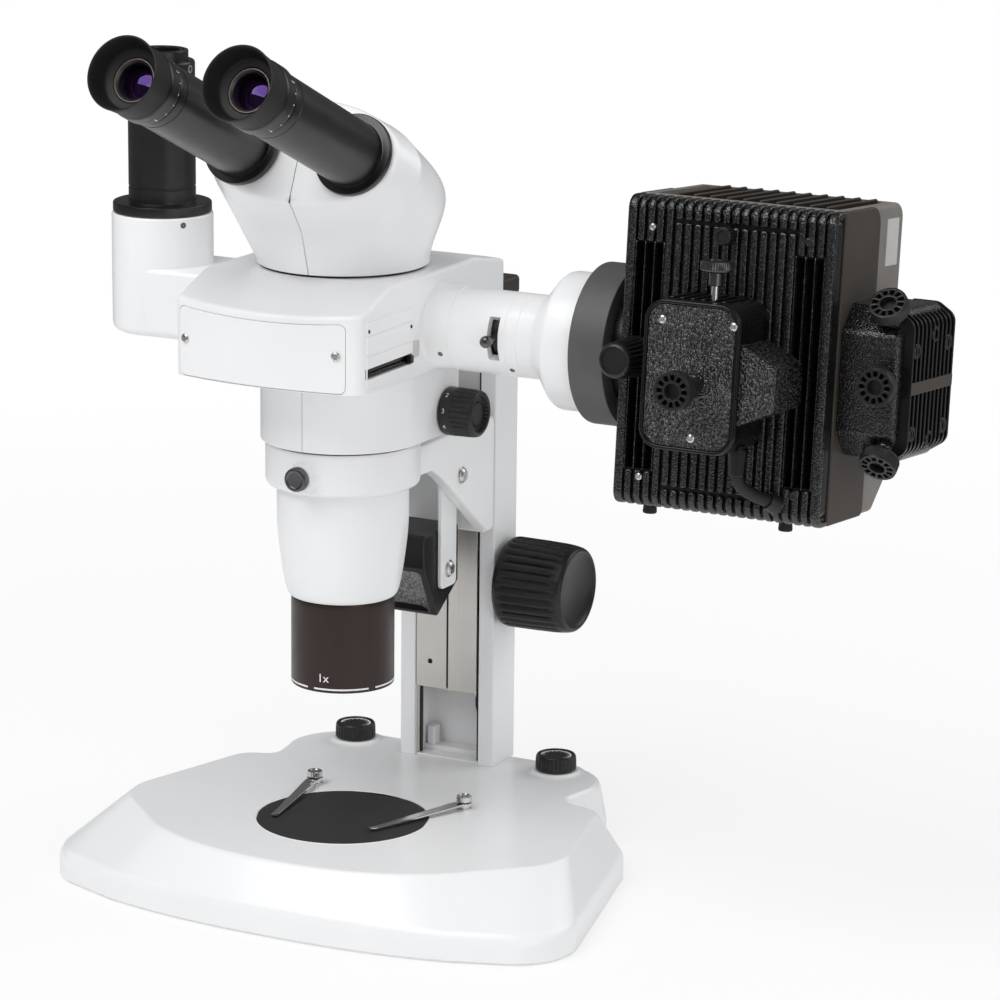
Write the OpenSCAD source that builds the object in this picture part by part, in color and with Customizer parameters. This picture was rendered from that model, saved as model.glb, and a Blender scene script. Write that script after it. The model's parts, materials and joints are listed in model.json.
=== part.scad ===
// Stereo microscope with a camera port, an epi-illuminator and a lamp house, on a column stand.
// Millimetres. The origin is where the optical axis meets the bench: +X to the lamp house, +Y to the
// column, +Z up.

/* [Base] */
// Height of the base's top face above the bench
base_h = 40; // [34:0.5:50]
// Height of the rubber feet
foot_h = 3; // [2:0.5:5]
// Half the width over the front corners, at the bottom
base_half_w = 162; // [150:1:195]
// From the optical axis to the middle of the front edge, at the bottom
base_front = 105; // [98:1:128]
// How far the front corners stand in front of the optical axis, at the bottom
base_corner = 62; // [50:1:75]
// Half the width over the front corners, on the top face
top_half_w = 141; // [118:1:150]
// From the optical axis to the middle of the front edge, on the top face
top_front = 89; // [75:1:95]
// How far the front corners stand in front of the optical axis, on the top face
top_corner = 14; // [11:1:17]
// Height of the upright wall under the front slope
base_wall_h = 14; // [8:0.5:18]
// Half the width at the shoulders
shoulder_half_w = 120; // [112:1:138]
// From the optical axis back to the shoulders
shoulder_y = 84; // [78:1:101]
// How far the base's outline lies to the right of the optical axis
stand_x = 4.5; // [0:0.5:6]
// From the optical axis back to the rear edge
base_back = 160; // [158:1:192]
// Radius of the rear lobes
lobe_r = 38; // [34:0.5:46]
// From the optical axis back to the middle of the lobes
lobe_y = 122; // [116:1:128]
// Thickness of the base's top wall
base_roof = 8; // [6.5:0.5:10]
// Radius of the stage plate
stage_r = 50; // [42:0.5:60]
// Thickness of the stage plate
stage_t = 4; // [3:0.5:5]

/* [Stage clips] */
// Clip posts, to each side of the optical axis
clip_x = 50; // [46:0.5:60]
// Clip posts, behind the optical axis
clip_y = 47.5; // [44:0.5:57]
// Length of a clip arm
clip_l = 70; // [58:1:84]
// Thickness of a clip arm
clip_t = 1.2; // [0.8:0.1:1.6]
// Radius of a clip post
clip_post_r = 2; // [1.6:0.1:2.6]

/* [Light knobs] */
// Light knobs, to each side of the optical axis
knob_x = 68.7; // [62:0.1:82]
// Light knobs, behind the optical axis
knob_y = 138.6; // [134:0.1:144]
// Radius of a light knob
knob_r = 12.3; // [10:0.1:15]
// Height of a light knob
knob_h = 9.5; // [8:0.5:12]
// Radius of a light knob's spindle
spindle_r = 3; // [2.5:0.1:3.8]

/* [Column] */
// From the optical axis to the column's front face
column_front = 127.3; // [124:0.1:129]
// Width of the column
column_w = 63; // [56:0.5:76]
// Depth of the column
column_d = 29.5; // [28:0.1:31]
// Height of the column above the base
column_h = 285; // [280:1:350]
// Thickness of the column's side walls
column_wall = 10; // [8:0.5:12]
// Thickness of the column's back wall
column_back = 6; // [5:0.1:6.5]
// Height of the end cap
cap_h = 10; // [8:0.5:13]

/* [Focus] */
// Height of the focus shaft above the base
focus_h = 113.5; // [104:0.5:118]
// Radius of the focus shaft
shaft_r = 4; // [3.3:0.1:4.8]
// Radius of a focus knob
focus_knob_r = 27; // [23:0.5:32]
// Length of a focus knob
focus_knob_l = 46; // [38:0.5:56]
// Module of the rack's teeth
tooth_module = 0.8; // [0.7:0.05:0.9]
// Thickness of the carriage plate
carriage_t = 6; // [5.5:0.1:6.5]
// Height of the carriage plate
carriage_l = 178; // [172:1:186]
// How far the head can be lowered from this height
focus_down = 30; // [20:1:34]
// How far the head can be raised from this height
focus_up = 55; // [40:1:60]

/* [Focus arm] */
// Height of the ring that holds the zoom body
ring_h = 25; // [21:0.5:30]
// Outer radius of the ring
ring_r = 44; // [42:0.5:46]
// Half the width over the arm's cheeks
arm_half_w = 32.5; // [30:0.5:38]
// Thickness of a cheek
cheek_t = 8; // [7:0.5:9.5]
// Height of the arm's back edge
arm_h = 68.5; // [60:0.5:80]
// Radius of the lock screw's head
lock_head_r = 6.3; // [5.3:0.1:7.5]

/* [Reflected light] */
// From the optical axis back to the lamp's pivot
strip_y = 83; // [80:0.5:86]
// Depth of the pivot below the ring
pivot_drop = 67; // [60:0.5:72]
// Thickness of the strips that carry the lamp
strip_t = 2.5; // [2:0.1:3]

/* [Zoom body] */
// Gap between the stage and the objective
working_gap = 82.7; // [76:0.1:99]
// Radius of the objective
objective_r = 29.6; // [25:0.1:33]
// Height of the objective
objective_h = 52.3; // [44:0.1:62]
// Height of the lower zoom body under the ring
lower_h = 65; // [58:0.5:72]
// Radius of the neck that turns in the ring
neck_r = 38.2; // [37:0.1:39.5]
// Radius of the upper zoom body
upper_r = 46.7; // [45:0.1:52]
// Height of the upper zoom body
upper_h = 45.7; // [43:0.1:54]
// From the optical axis back to the zoom shaft
zoom_y = 38; // [34:0.5:40]
// Radius of a zoom knob
zoom_knob_r = 14; // [12:0.1:16.5]
// Length of a zoom knob
zoom_knob_l = 21; // [18:0.5:25]

/* [Head box] */
// Half the width of the head box
box_half_w = 57; // [54:0.5:68]
// From the optical axis to the head box's front corners
box_front = 80; // [77:0.5:96]
// How far the front bulges
box_bulge = 8; // [6.7:0.1:9.6]
// From the optical axis back to the head box's rear face
box_back = 100; // [84:0.5:106]
// Height of the head box at its front edge
box_front_h = 44; // [43:0.5:50]
// Height of the head box under the binocular head
box_mid_h = 55; // [53:0.5:66]
// Height of the head box at its rear edge
box_back_h = 46; // [43:0.5:54]
// Thickness of the head box's walls
box_wall = 4; // [3.4:0.1:4.8]
// How far the filter slider travels
filter_travel = 44; // [36:0.5:45]

/* [Binocular head] */
// Radius of the shell where it sits on the head box
shell_r = 48.5; // [44:0.5:52]
// Height of the middle of the eyetube face above the head box
face_up = 70; // [64:0.5:84]
// How far the middle of the eyetube face stands in front of the optical axis
face_out = 49; // [42:0.5:58]
// Tilt of the eyetubes above level, in degrees
tube_tilt = 24; // [20:0.5:29]
// Distance between the eyetubes
eye_spacing = 70; // [66:0.5:74]
// Outer radius of an eyetube
tube_r = 18.5; // [17.5:0.1:20]
// Length of an eyetube with its flange
tube_l = 106; // [90:0.5:126]
// Radius of an eyetube's flange
flange_r = 23; // [21.5:0.1:24.5]
// Length of the eyepiece outside the tube
eyepiece_l = 31; // [28:0.5:37]
// Radius of the eyepiece at its ring of marks
eyepiece_r = 19.8; // [18.5:0.1:22]

/* [Camera port] */
// From the optical axis out to the camera port
camera_x = 126.3; // [117:0.5:152]
// Radius of the white port
camera_r = 29.2; // [25:0.1:35]
// Height of the white port
camera_h = 69; // [58:0.5:82]
// Radius of the black camera tube
camera_tube_r = 19.3; // [17.5:0.1:23.5]
// Height of the black camera tube above its flange
camera_tube_h = 81; // [68:0.5:97]
// Radius of the stub that a camera screws on to
camera_stub_r = 12.7; // [12.7:0.1:12.7]

/* [Illuminator] */
// Illuminator axis, behind the optical axis
port_y = 10; // [4:0.5:14]
// Illuminator axis, above the head box's floor
port_up = 24; // [23:0.5:27]
// Radius of the illuminator tube
tube_out_r = 21.6; // [20.5:0.1:25.5]
// Length of the illuminator tube up to the flare
tube_out_l = 70; // [60:0.5:84]
// Radius of the flare's rim
flare_r = 38.5; // [33:0.5:46]
// Length of the flare with its rim
flare_l = 33.5; // [28:0.5:40]
// Radius of the coupling ring
coupling_r = 44.6; // [38:0.1:53]
// Length of the coupling ring
coupling_l = 27.5; // [24:0.5:33]

/* [Lamp house] */
// Lean of the lamp house about the illuminator axis, in degrees
lamp_tilt = 5; // [0:0.5:6]
// Width of the lamp house
lamp_w = 120; // [112:1:144]
// Depth of the lamp case behind its front cover
case_d = 80; // [66:0.5:96]
// How far the lamp case stands in front of the illuminator axis
case_front = 28; // [25:0.5:33]
// Thickness of the front cover
cover_d = 14; // [12:0.5:16]
// Height of the lamp house above the illuminator axis
lamp_up = 87; // [74:0.5:104]
// Depth of the lamp house below the illuminator axis
lamp_down = 80.5; // [74:0.5:96]
// Thickness of the lamp house's walls
lamp_wall = 3; // [2.5:0.1:3.6]
// Number of ribs across the front cover
rib_count = 22; // [18:1:26]
// Width of the socket box
socket_w = 55; // [48:0.5:60]
// Height of the socket box
socket_h = 80; // [72:0.5:96]
// Depth of the socket box
socket_d = 38; // [32:0.5:45]
// Thickness of the mirror box, out from the lamp house
mirror_w = 36; // [30:0.5:43]
// Depth of the mirror box
mirror_d = 64; // [58:0.5:68]
// Height of the mirror box
mirror_h = 82; // [74:0.5:98]
// Radius of the small spoked knobs
spoke_knob_r = 10.5; // [9:0.1:12]
// Diameter of the lamp lead
lead_d = 7; // [6:0.5:8]

/* [Fits] */
// Radial clearance of a shaft that turns or slides
running = 0.05; // [0.02:0.01:0.09]
// Gap between pieces that move past each other
clear = 0.3; // [0.25:0.05:0.4]
// Radial clearance of a piece that sits fixed in another
seat = 0.1; // [0.05:0.01:0.15]

/* [Hidden] */
$fn = 64;

over = 1;
white_paint = [0.94, 0.94, 0.95];
black_paint = [0.06, 0.06, 0.065];
black_plastic = [0.10, 0.10, 0.11];
steel = [0.72, 0.73, 0.75];
glass_blue = [0.55, 0.60, 0.80, 0.5];

// Heights, from the bench up.
objective_z = base_h + working_gap;
lower_z = objective_z + objective_h;
ring_z = lower_z + lower_h;
ring_top = ring_z + ring_h;
upper_z = ring_top + clear;
box_z = upper_z + upper_h;
shell_z = box_z + box_mid_h;
port_z = box_z + port_up;
focus_z = base_h + focus_h;
column_top = base_h + column_h;
arm_top = ring_top - 8;
arm_bottom = arm_top - arm_h;
pivot_z = ring_z - pivot_drop;

// Base.
foot_r = 9;
foot_seat = 1;
cover_t = 3;
cover_lip = 4;
cavity_inset = 8;
cavity_z = base_h - base_roof;
pocket_r = 11;
channel_w = 18;
post_r = 6;
screw_r = 1.5;
screw_head_r = 3;
screw_head_h = 2;
cover_screw_l = 12;
shoulder_spread = [9, 14];
front_foot = [base_half_w - 34, 3 - base_corner];
rear_foot = [knob_x + 22.5, knob_y - 10.6];
foot_places = [front_foot + [stand_x, 0], [stand_x - front_foot[0], front_foot[1]],
               rear_foot, [-rear_foot[0], rear_foot[1]]];
clip_places = [[stand_x - clip_x, clip_y], [stand_x + clip_x, clip_y]];
post_x = top_half_w - 59;
post_places = [[post_x, -28], [-post_x, -28], [post_x, shoulder_y - 16], [-post_x, shoulder_y - 16]];
clip_turn_left = -80.5;
clip_turn_right = -113.5;
clip_hub_r = 4.8;
clip_head_r = 4.6;
clip_head_h = 4;
clip_lift = 3;
collar_h = 1.5;
dimmer_r = 9;
dimmer_h = 14;
inlet_w = 27;
inlet_h = 19.5;
inlet_d = 15;
inlet_z = (base_h + foot_h - inlet_h) / 2;

// Column and focus drive.
column_in = column_w / 2 - column_wall;
column_y1 = column_front + column_d;
rail_w = 4;
rail_t = 3;
rail_setback = 2;
carriage_setback = 0.7;
carriage_y = column_front + carriage_setback;
carriage_back = carriage_y + carriage_t;
carriage_z = arm_top + 5 - carriage_l;
teeth = 16;
pitch_r = tooth_module * teeth / 2;
rack_base = 1.2;
dedendum = 1.25 * tooth_module;
focus_y = carriage_back + rack_base + dedendum + pitch_r;
rack_w = 8;
rack_pitch = PI * tooth_module;
rack_reach = 14;
rack_teeth_up = ceil((focus_down + rack_reach) / rack_pitch);
rack_teeth_down = ceil((focus_up + rack_reach) / rack_pitch);
backlash = 0.16;
bush_r = shaft_r + 2.5;
knob_gap = 1.5;
bolt_r = 2.5;
bolt_head_r = 4.5;
bolt_x = column_w / 2 - column_wall / 2;
bolt_y = column_front + column_d / 2;
bolt_up = 20;

// Focus arm.
arm_gap = 2.8;
arm_back = column_front - arm_gap;
back_plate_t = 11.5;
boss_half_w = 18;
cheek_in = arm_half_w - cheek_t;
lock_z = ring_z + ring_h / 2 - 0.5;
lock_boss_r = 8;
lock_boss_y = ring_r + 6;
lock_shank_r = 3;
lock_head_l = 12;
strip_half_w = 11;
strip_screw_z = ring_z - 10;
strip_top = strip_screw_z + 6;
socket_head_r = 4.2;
plate_screw_x = 12;

// Reflected-light housing, as the corners of its side outline around the pivot.
housing_half_w = cheek_in - strip_t - clear;
housing_tip = [-9, -28];
housing_brow = [-26, 5];
housing_top = 24;
housing_back = [17, -11];
window_lean = atan2(housing_tip[0] - housing_brow[0], housing_brow[1] - housing_tip[1]);
window_mid = (housing_tip + housing_brow) / 2;
window_w = 32;
window_h = 24;
window_d = 8;

// Zoom body.
ring_bore_r = neck_r + running;
lower_top_r = neck_r - 0.6;
lower_bottom_r = objective_r + 4.8;
lower_bore_r = objective_r - 3;
lower_round = 9;
objective_bore_r = objective_r - 5;
thread_l = 8;
rear_block_y = zoom_y + 17;
upper_wall = 6;
zoom_z = upper_z + 13.8;
zoom_shaft_r = 3;
lens_t = 7;

// Head box.
bulge_r = (pow(box_half_w, 2) + pow(box_bulge, 2)) / (2 * box_bulge);
bulge_y = -box_front - box_bulge + bulge_r;
rear_chamfer = [17, 13];
cavity_half_w = box_half_w - box_wall;
cavity_front = box_front - 6;
cavity_back = box_back - 2 * box_wall;
cavity_h = box_front_h - 3;
axis_hole_r = 30;
slot_z = box_z + 8;
slot_h = 5.5;
slot_back = 24;
tab_l = 4;
panel_t = 2.5;
panel_inset = 7;
slider_half_l = 28;
port_hole_r = tube_out_r - 3.6;

// Binocular head.
face_y = -face_out;
face_z = shell_z + face_up;
face_r = 30;
face_t = 14;
shell_wall = 6;
pivot_swing = 27;
pivot_rest = 25;
pivot_x = eye_spacing / 2 - pivot_swing * cos(pivot_rest);
pivot_y = -pivot_swing * sin(pivot_rest);
pin_r = 4;
gear_teeth = 21;
gear_module = 2 * pivot_x / gear_teeth;
gear_t = 4;
gear_back = 12;
light_hole_r = 4.5;
light_neck_r = 6;
neck_slot_r = light_neck_r + 0.5;
swing_out = 25;
swing_in = 30;
foot_plate_t = 4;
waist_half_w = 66;
waist_half_d = 45;
waist_y = -8.6;
waist_up = 40;
flange_t = 5;
barrel_r = tube_r - 3.5;
barrel_l = 17;
eye_bore_r = 9;
eye_lens_r = 10;
eye_lens_t = 5;
cup_depth = 14;
ring_l = 12;
eye_lens_z = eyepiece_l - cup_depth - eye_lens_t - 1;

// Camera port, illuminator and lamp house.
arm_half_d = camera_r - 2.6;
camera_arm_h = 36;
camera_z = box_z + 3;
camera_flange_t = 6;
camera_light_r = 12;
collar_r = camera_stub_r + 1.4;
stub_h = 4;
tube_bore_r = tube_out_r - 3;
flare_x = box_half_w + tube_out_l;
flare_cone = 11;
coupling_x = flare_x + flare_l;
lamp_x = coupling_x + coupling_l;
lamp_x1 = lamp_x + lamp_w;
cell_r = 30;
cell_l = 14;
cell_gap = 1;
cell_travel = 5;
iris_x = box_half_w + 43;
iris_w = 6;
iris_half_a = 30;
cover_front = case_front + cover_d;
cover_skin = 6;
rib_w = 2.2;
rib_d = 3;
socket_x = lamp_x + 62;
socket_front = cover_front + socket_d;
opening_w = 32;
opening_h = socket_h - 8;
socket_wall = 4;
socket_round = 12;
lug_w = 13;
bulb_z = -28;
collector_x = lamp_x + 12;
collector_r = 11;
collector_knob_l = 34;
stem_r = 3;
socket_up = 2;
socket_knob_z = socket_up - 8;
collector_z = 1.5;
spoke_knob_l = 9;
socket_stem_l = 20;
mirror_stem_l = 5;
thumb_x = socket_x + 4;
thumb_y = -(socket_front - 10);
thumb_r = 10;
thumb_h = 12;
thumb_stem = 13;
screw_inset = 15;
latch_x = lamp_x + 56;
latch_r = 5.5;
latch_l = 8;
mirror_y0 = -25;
mirror_z0 = -43;
mirror_chamfer = 14;
mirror_x = lamp_x1 + 26;
mirror_knob_z = mirror_z0 + mirror_h / 2;

// Lamp lead, in the lamp house's own frame: from the strain relief under the socket box down into the
// gland on the front cover.
relief_l = 13;
lead_sides = 10;
gland_r = lead_d / 2 + 2.5;
gland_bore_r = lead_d / 2 + 0.9;
gland_l = 10;
gland_way = [0.5, 0.75, -0.43];
lead_route = [[268, -60, -36], [268, -60, -44], [268, -60, -52], [269, -58.7, -57.6],
              [271.7, -55.3, -61.7], [275.3, -50.6, -64.8], [279.3, -45.2, -67.4], [283, -40, -70],
              [285.5, -36.2, -72.2]];

// Shapes used more than once

module block(x0, x1, y0, y1, z0, z1)
    translate([x0, y0, z0])
        cube([x1 - x0, y1 - y0, z1 - z0]);

module along_x(r, x0, x1)
    translate([x0, 0, 0])
        rotate([0, 90, 0])
            cylinder(r = r, h = x1 - x0);

module along_y(r, y0, y1)
    translate([0, y0, 0])
        rotate([-90, 0, 0])
            cylinder(r = r, h = y1 - y0);

// A side outline, given as points of Y and Z, drawn out along X.
module side_plate(points, x0, x1)
    translate([x0, 0, 0])
        rotate([90, 0, 90])
            linear_extrude(x1 - x0)
                polygon(points);

module rounded(w, h, r) {
    square([w - 2 * r, h], center = true);
    square([w, h - 2 * r], center = true);
    for (x = [-1, 1], y = [-1, 1])
        translate([x * (w / 2 - r), y * (h / 2 - r)])
            circle(r);
}

// A turned knob along +Z with a sunk face.
module knob(r, l, face_r, sink) {
    edge = min(1.5, r / 8);
    rotate_extrude()
        polygon([[0, 0], [r - edge, 0], [r, edge], [r, l - edge], [r - edge, l], [face_r, l],
                 [face_r - edge, l - sink], [0, l - sink]]);
}

// The children as they are on the right, and mirrored on the left.
module both_sides() {
    children();
    mirror([1, 0, 0])
        children();
}

// Involute of a gear: the turn of the flank at radius r from its start on the base circle.
function flank_turn(base_r, r) = let (a = acos(min(1, base_r / r))) tan(a) * 180 / PI - a;

// One tooth around angle 0, as radius and angle: up one involute flank and down the other.
function gear_tooth(pitch, base_r, root, tip, half_a) =
    let (start = max(base_r, root),
         flank = [for (i = [0:3]) let (r = start + (tip - start) * i / 3)
                  [r, half_a + flank_turn(base_r, pitch) - flank_turn(base_r, r)]])
    concat([[root, -flank[0][1]]], [for (p = flank) [p[0], -p[1]]],
           [for (i = [3:-1:0]) flank[i]], [[root, flank[0][1]]]);

module gear_2d(m, n, slack, start) {
    pitch = m * n / 2;
    base_r = pitch * cos(20);
    half_a = 90 / n - slack / pitch * 90 / PI;
    tooth = gear_tooth(pitch, base_r, pitch - 1.25 * m, pitch + m, half_a);
    polygon([for (k = [0:n - 1], p = tooth)
                 let (a = start + 360 * k / n + p[1]) [p[0] * cos(a), p[0] * sin(a)]]);
}

// The base's outline: an arc over the front between two corners, and the shoulders at the back.
function base_outline(half_w, front, corner, shoulder) =
    let (rise = front - corner, r = (half_w * half_w + rise * rise) / (2 * rise), a = asin(half_w / r))
    concat([for (i = [-8:8]) [stand_x + r * sin(a * i / 8), r - front - r * cos(a * i / 8)]],
           [[stand_x + shoulder[0], shoulder[1]], [stand_x - shoulder[0], shoulder[1]]]);

function top_outline(inset) =
    base_outline(top_half_w - inset, top_front - inset, top_corner - inset / 3,
                 [shoulder_half_w - inset, shoulder_y - inset]);

bottom_outline = base_outline(base_half_w, base_front, base_corner,
                              [shoulder_half_w, shoulder_y] + shoulder_spread);

module rear_shape() {
    translate([-knob_x, shoulder_y - 20])
        square([2 * knob_x, base_back - shoulder_y + 20]);
    both_sides()
        translate([knob_x, lobe_y])
            circle(lobe_r);
}

module cavity_shape(grow) {
    polygon(top_outline(cavity_inset - grow));
    both_sides() {
        translate([knob_x - channel_w / 2 - grow, shoulder_y - 20])
            square([channel_w + 2 * grow, knob_y - shoulder_y + 20]);
        translate([knob_x, knob_y])
            circle(pocket_r + grow);
    }
}

// Base

module base_casting() color(white_paint)
    difference() {
        union() {
            hull() {
                translate([0, 0, foot_h])
                    linear_extrude(base_wall_h)
                        polygon(bottom_outline);
                translate([0, 0, base_h - 1])
                    linear_extrude(1)
                        polygon(top_outline(0));
            }
            translate([0, 0, foot_h])
                linear_extrude(base_h - foot_h)
                    rear_shape();
            both_sides()
                translate([knob_x, knob_y, base_h - 1])
                    cylinder(r = knob_r + 1.2, h = collar_h + 1);
        }
        translate([0, 0, base_h - stage_t])
            cylinder(r = stage_r + clear, h = stage_t + over);
        difference() {
            translate([0, 0, foot_h - over])
                linear_extrude(cavity_z - foot_h + over)
                    cavity_shape(0);
            for (p = post_places)
                translate([p[0], p[1], 0])
                    cylinder(r = post_r, h = base_h);
        }
        translate([0, 0, foot_h - over])
            linear_extrude(cover_t + over)
                cavity_shape(cover_lip + seat);
        for (p = post_places)
            translate([p[0], p[1], foot_h])
                cylinder(r = screw_r + seat / 2, h = cover_screw_l + 2);
        for (p = foot_places)
            translate([p[0], p[1], foot_h - over])
                cylinder(r = foot_r + seat, h = foot_seat + over);
        for (p = clip_places)
            translate([p[0], p[1], cavity_z - over])
                cylinder(r = clip_post_r + seat / 2, h = base_h);
        both_sides() {
            translate([knob_x, knob_y, foot_h])
                cylinder(r = spindle_r + running, h = base_h);
            translate([bolt_x, bolt_y, foot_h - over])
                cylinder(r = bolt_r + seat, h = base_h);
            translate([bolt_x, bolt_y, foot_h - over])
                cylinder(r = bolt_head_r + seat, h = bolt_up / 2 + over);
        }
        translate([-inlet_w / 2 - seat, base_back - inlet_d - seat, inlet_z - seat])
            cube([inlet_w + 2 * seat, inlet_d + over + seat, inlet_h + 2 * seat]);
    }

module base_cover() color(black_plastic)
    difference() {
        translate([0, 0, foot_h])
            linear_extrude(cover_t)
                cavity_shape(cover_lip);
        for (p = post_places)
            translate([p[0], p[1], 0]) {
                cylinder(r = screw_r + seat, h = base_h);
                cylinder(r = screw_head_r + seat, h = foot_h + screw_head_h + seat);
            }
    }

module rubber_feet() color(black_plastic)
    for (p = foot_places)
        translate([p[0], p[1], 0])
            cylinder(r = foot_r, h = foot_h + foot_seat);

module base_screws() color(steel) {
    for (p = post_places)
        translate([p[0], p[1], foot_h + seat]) {
            cylinder(r = screw_head_r, h = screw_head_h);
            cylinder(r = screw_r, h = cover_screw_l);
        }
    both_sides()
        translate([bolt_x, bolt_y, foot_h + bolt_up / 2 - 5]) {
            cylinder(r = bolt_head_r, h = 5);
            cylinder(r = bolt_r, h = base_h + bolt_up - foot_h - bolt_up / 2);
        }
}

module dimmers() color(steel)
    both_sides()
        translate([knob_x, knob_y, cavity_z - dimmer_h])
            difference() {
                cylinder(r = dimmer_r, h = dimmer_h);
                translate([0, 0, 2])
                    cylinder(r = spindle_r + running, h = dimmer_h);
            }

module power_inlet() color(black_plastic)
    translate([0, base_back - inlet_d, inlet_z])
        difference() {
            translate([-inlet_w / 2, 0, 0])
                cube([inlet_w, inlet_d, inlet_h]);
            translate([-inlet_w / 2 + 2.5, 3, 2.5])
                difference() {
                    cube([inlet_w - 5, inlet_d, inlet_h - 5]);
                    for (x = [4, (inlet_w - 5) / 2 - 1, inlet_w - 11])
                        translate([x, -over, 5])
                            cube([2, inlet_d - 4, 4]);
                }
        }

module stage_plate() color(black_paint)
    translate([0, 0, base_h - stage_t])
        cylinder(r = stage_r, h = stage_t);

module clip_screws() color(steel)
    for (p = clip_places)
        translate([p[0], p[1], base_h]) {
            translate([0, 0, -base_roof])
                cylinder(r = clip_post_r, h = base_roof + clip_lift + clip_t + 2 * clear);
            cylinder(r = clip_post_r + 1.5, h = clip_lift - clear);
            translate([0, 0, clip_lift + clip_t + clear])
                cylinder(r = clip_head_r, h = clip_head_h);
        }

// A flat spring arm along +X that slopes down to its tip, with a round eye for its post.
module clip_arm() {
    fall = atan2(clip_lift - 2 * clear, clip_l);
    difference() {
        union() {
            translate([0, 0, clip_lift])
                cylinder(r = clip_hub_r, h = clip_t);
            translate([0, 0, clip_lift])
                rotate([0, fall, 0])
                    linear_extrude(clip_t)
                        polygon([[0, -3.6], [clip_l - 2, -2], [clip_l, -1], [clip_l, 1], [clip_l - 2, 2],
                                 [0, 3.6]]);
        }
        cylinder(r = clip_post_r + running, h = 20);
    }
}

module stage_clip_left() color(steel)
    translate([clip_places[0][0], clip_places[0][1], base_h])
        rotate([0, 0, clip_turn_left])
            clip_arm();

module stage_clip_right() color(steel)
    translate([clip_places[1][0], clip_places[1][1], base_h])
        rotate([0, 0, clip_turn_right])
            clip_arm();

module light_knob() color(black_plastic) {
    translate([0, 0, base_h + collar_h + clear])
        knob(knob_r, knob_h, knob_r - 3, 1);
    translate([0, 0, cavity_z - dimmer_h + 2 + clear])
        cylinder(r = spindle_r, h = base_roof + dimmer_h + collar_h);
}

module light_knob_left()
    translate([-knob_x, knob_y, 0])
        light_knob();

module light_knob_right()
    translate([knob_x, knob_y, 0])
        light_knob();

// Column and focus drive

module column() color(white_paint)
    difference() {
        block(-column_w / 2, column_w / 2, column_front, column_y1, base_h, column_top);
        block(-column_in, column_in, column_front - over, column_y1 - column_back, base_h - over,
              column_top + over);
        translate([0, focus_y, focus_z])
            along_x(bush_r + seat / 5, -column_w, column_w);
        both_sides()
            translate([bolt_x, bolt_y, base_h - over])
                cylinder(r = bolt_r + seat, h = bolt_up + over + 1);
    }

module column_cap() color(black_plastic)
    block(-column_w / 2, column_w / 2, column_front, column_y1, column_top, column_top + cap_h);

module guide_rails() color(steel)
    both_sides()
        block(column_in - rail_w, column_in, column_front + rail_setback,
              column_front + rail_setback + rail_t, base_h + 6, column_top - 3);

module pinion_bushes() color(steel)
    both_sides()
        translate([0, focus_y, focus_z])
            difference() {
                along_x(bush_r, column_in, column_w / 2);
                along_x(shaft_r + running, 0, column_w);
            }

module focus_shaft() color(steel)
    translate([0, focus_y, focus_z]) {
        along_x(shaft_r, -column_w / 2 - focus_knob_l * 0.6, column_w / 2 + focus_knob_l * 0.6);
        translate([-rack_w / 2, 0, 0])
            rotate([0, 90, 0])
                linear_extrude(rack_w)
                    gear_2d(tooth_module, teeth, backlash, 270 + 180 / teeth);
    }

module focus_knobs() color(black_plastic)
    both_sides()
        translate([column_w / 2 + knob_gap, focus_y, focus_z])
            rotate([0, 90, 0])
                difference() {
                    knob(focus_knob_r, focus_knob_l, focus_knob_r - 6, 6);
                    translate([0, 0, -over])
                        cylinder(r = shaft_r + seat / 5, h = focus_knob_l * 0.6 + over);
                }

module carriage() color([0.80, 0.78, 0.74])
    difference() {
        block(-column_in + clear, column_in - clear, carriage_y, carriage_back, carriage_z,
              carriage_z + carriage_l);
        both_sides()
            block(column_in - rail_w - clear, column_in + over, column_front + rail_setback - clear / 2,
                  column_front + rail_setback + rail_t + clear / 2, carriage_z - over,
                  carriage_z + carriage_l + over);
        block(-0.5, 0.5, carriage_y - over, carriage_y + 0.8, carriage_z - over, arm_bottom - 2);
        for (x = [-1, 1], z = [12, arm_h - 14])
            translate([x * plate_screw_x, 0, arm_bottom + z])
                along_y(bolt_r + seat, carriage_y - over, carriage_back + over);
    }

module rack() color([0.72, 0.60, 0.30])
    translate([0, carriage_back, focus_z])
        side_plate(concat([[0, -(rack_teeth_down + 0.5) * rack_pitch]],
                          [for (k = [-rack_teeth_down:rack_teeth_up])
                               let (half = rack_pitch / 4 - backlash / 2, z = k * rack_pitch,
                                    lean = tan(20) * tooth_module, foot = tan(20) * dedendum)
                                   each [[rack_base, z - half - foot],
                                         [rack_base + dedendum + tooth_module, z - half + lean],
                                         [rack_base + dedendum + tooth_module, z + half - lean],
                                         [rack_base, z + half + foot]]],
                          [[0, (rack_teeth_up + 0.5) * rack_pitch]]),
                   -rack_w / 2, rack_w / 2);

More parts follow.
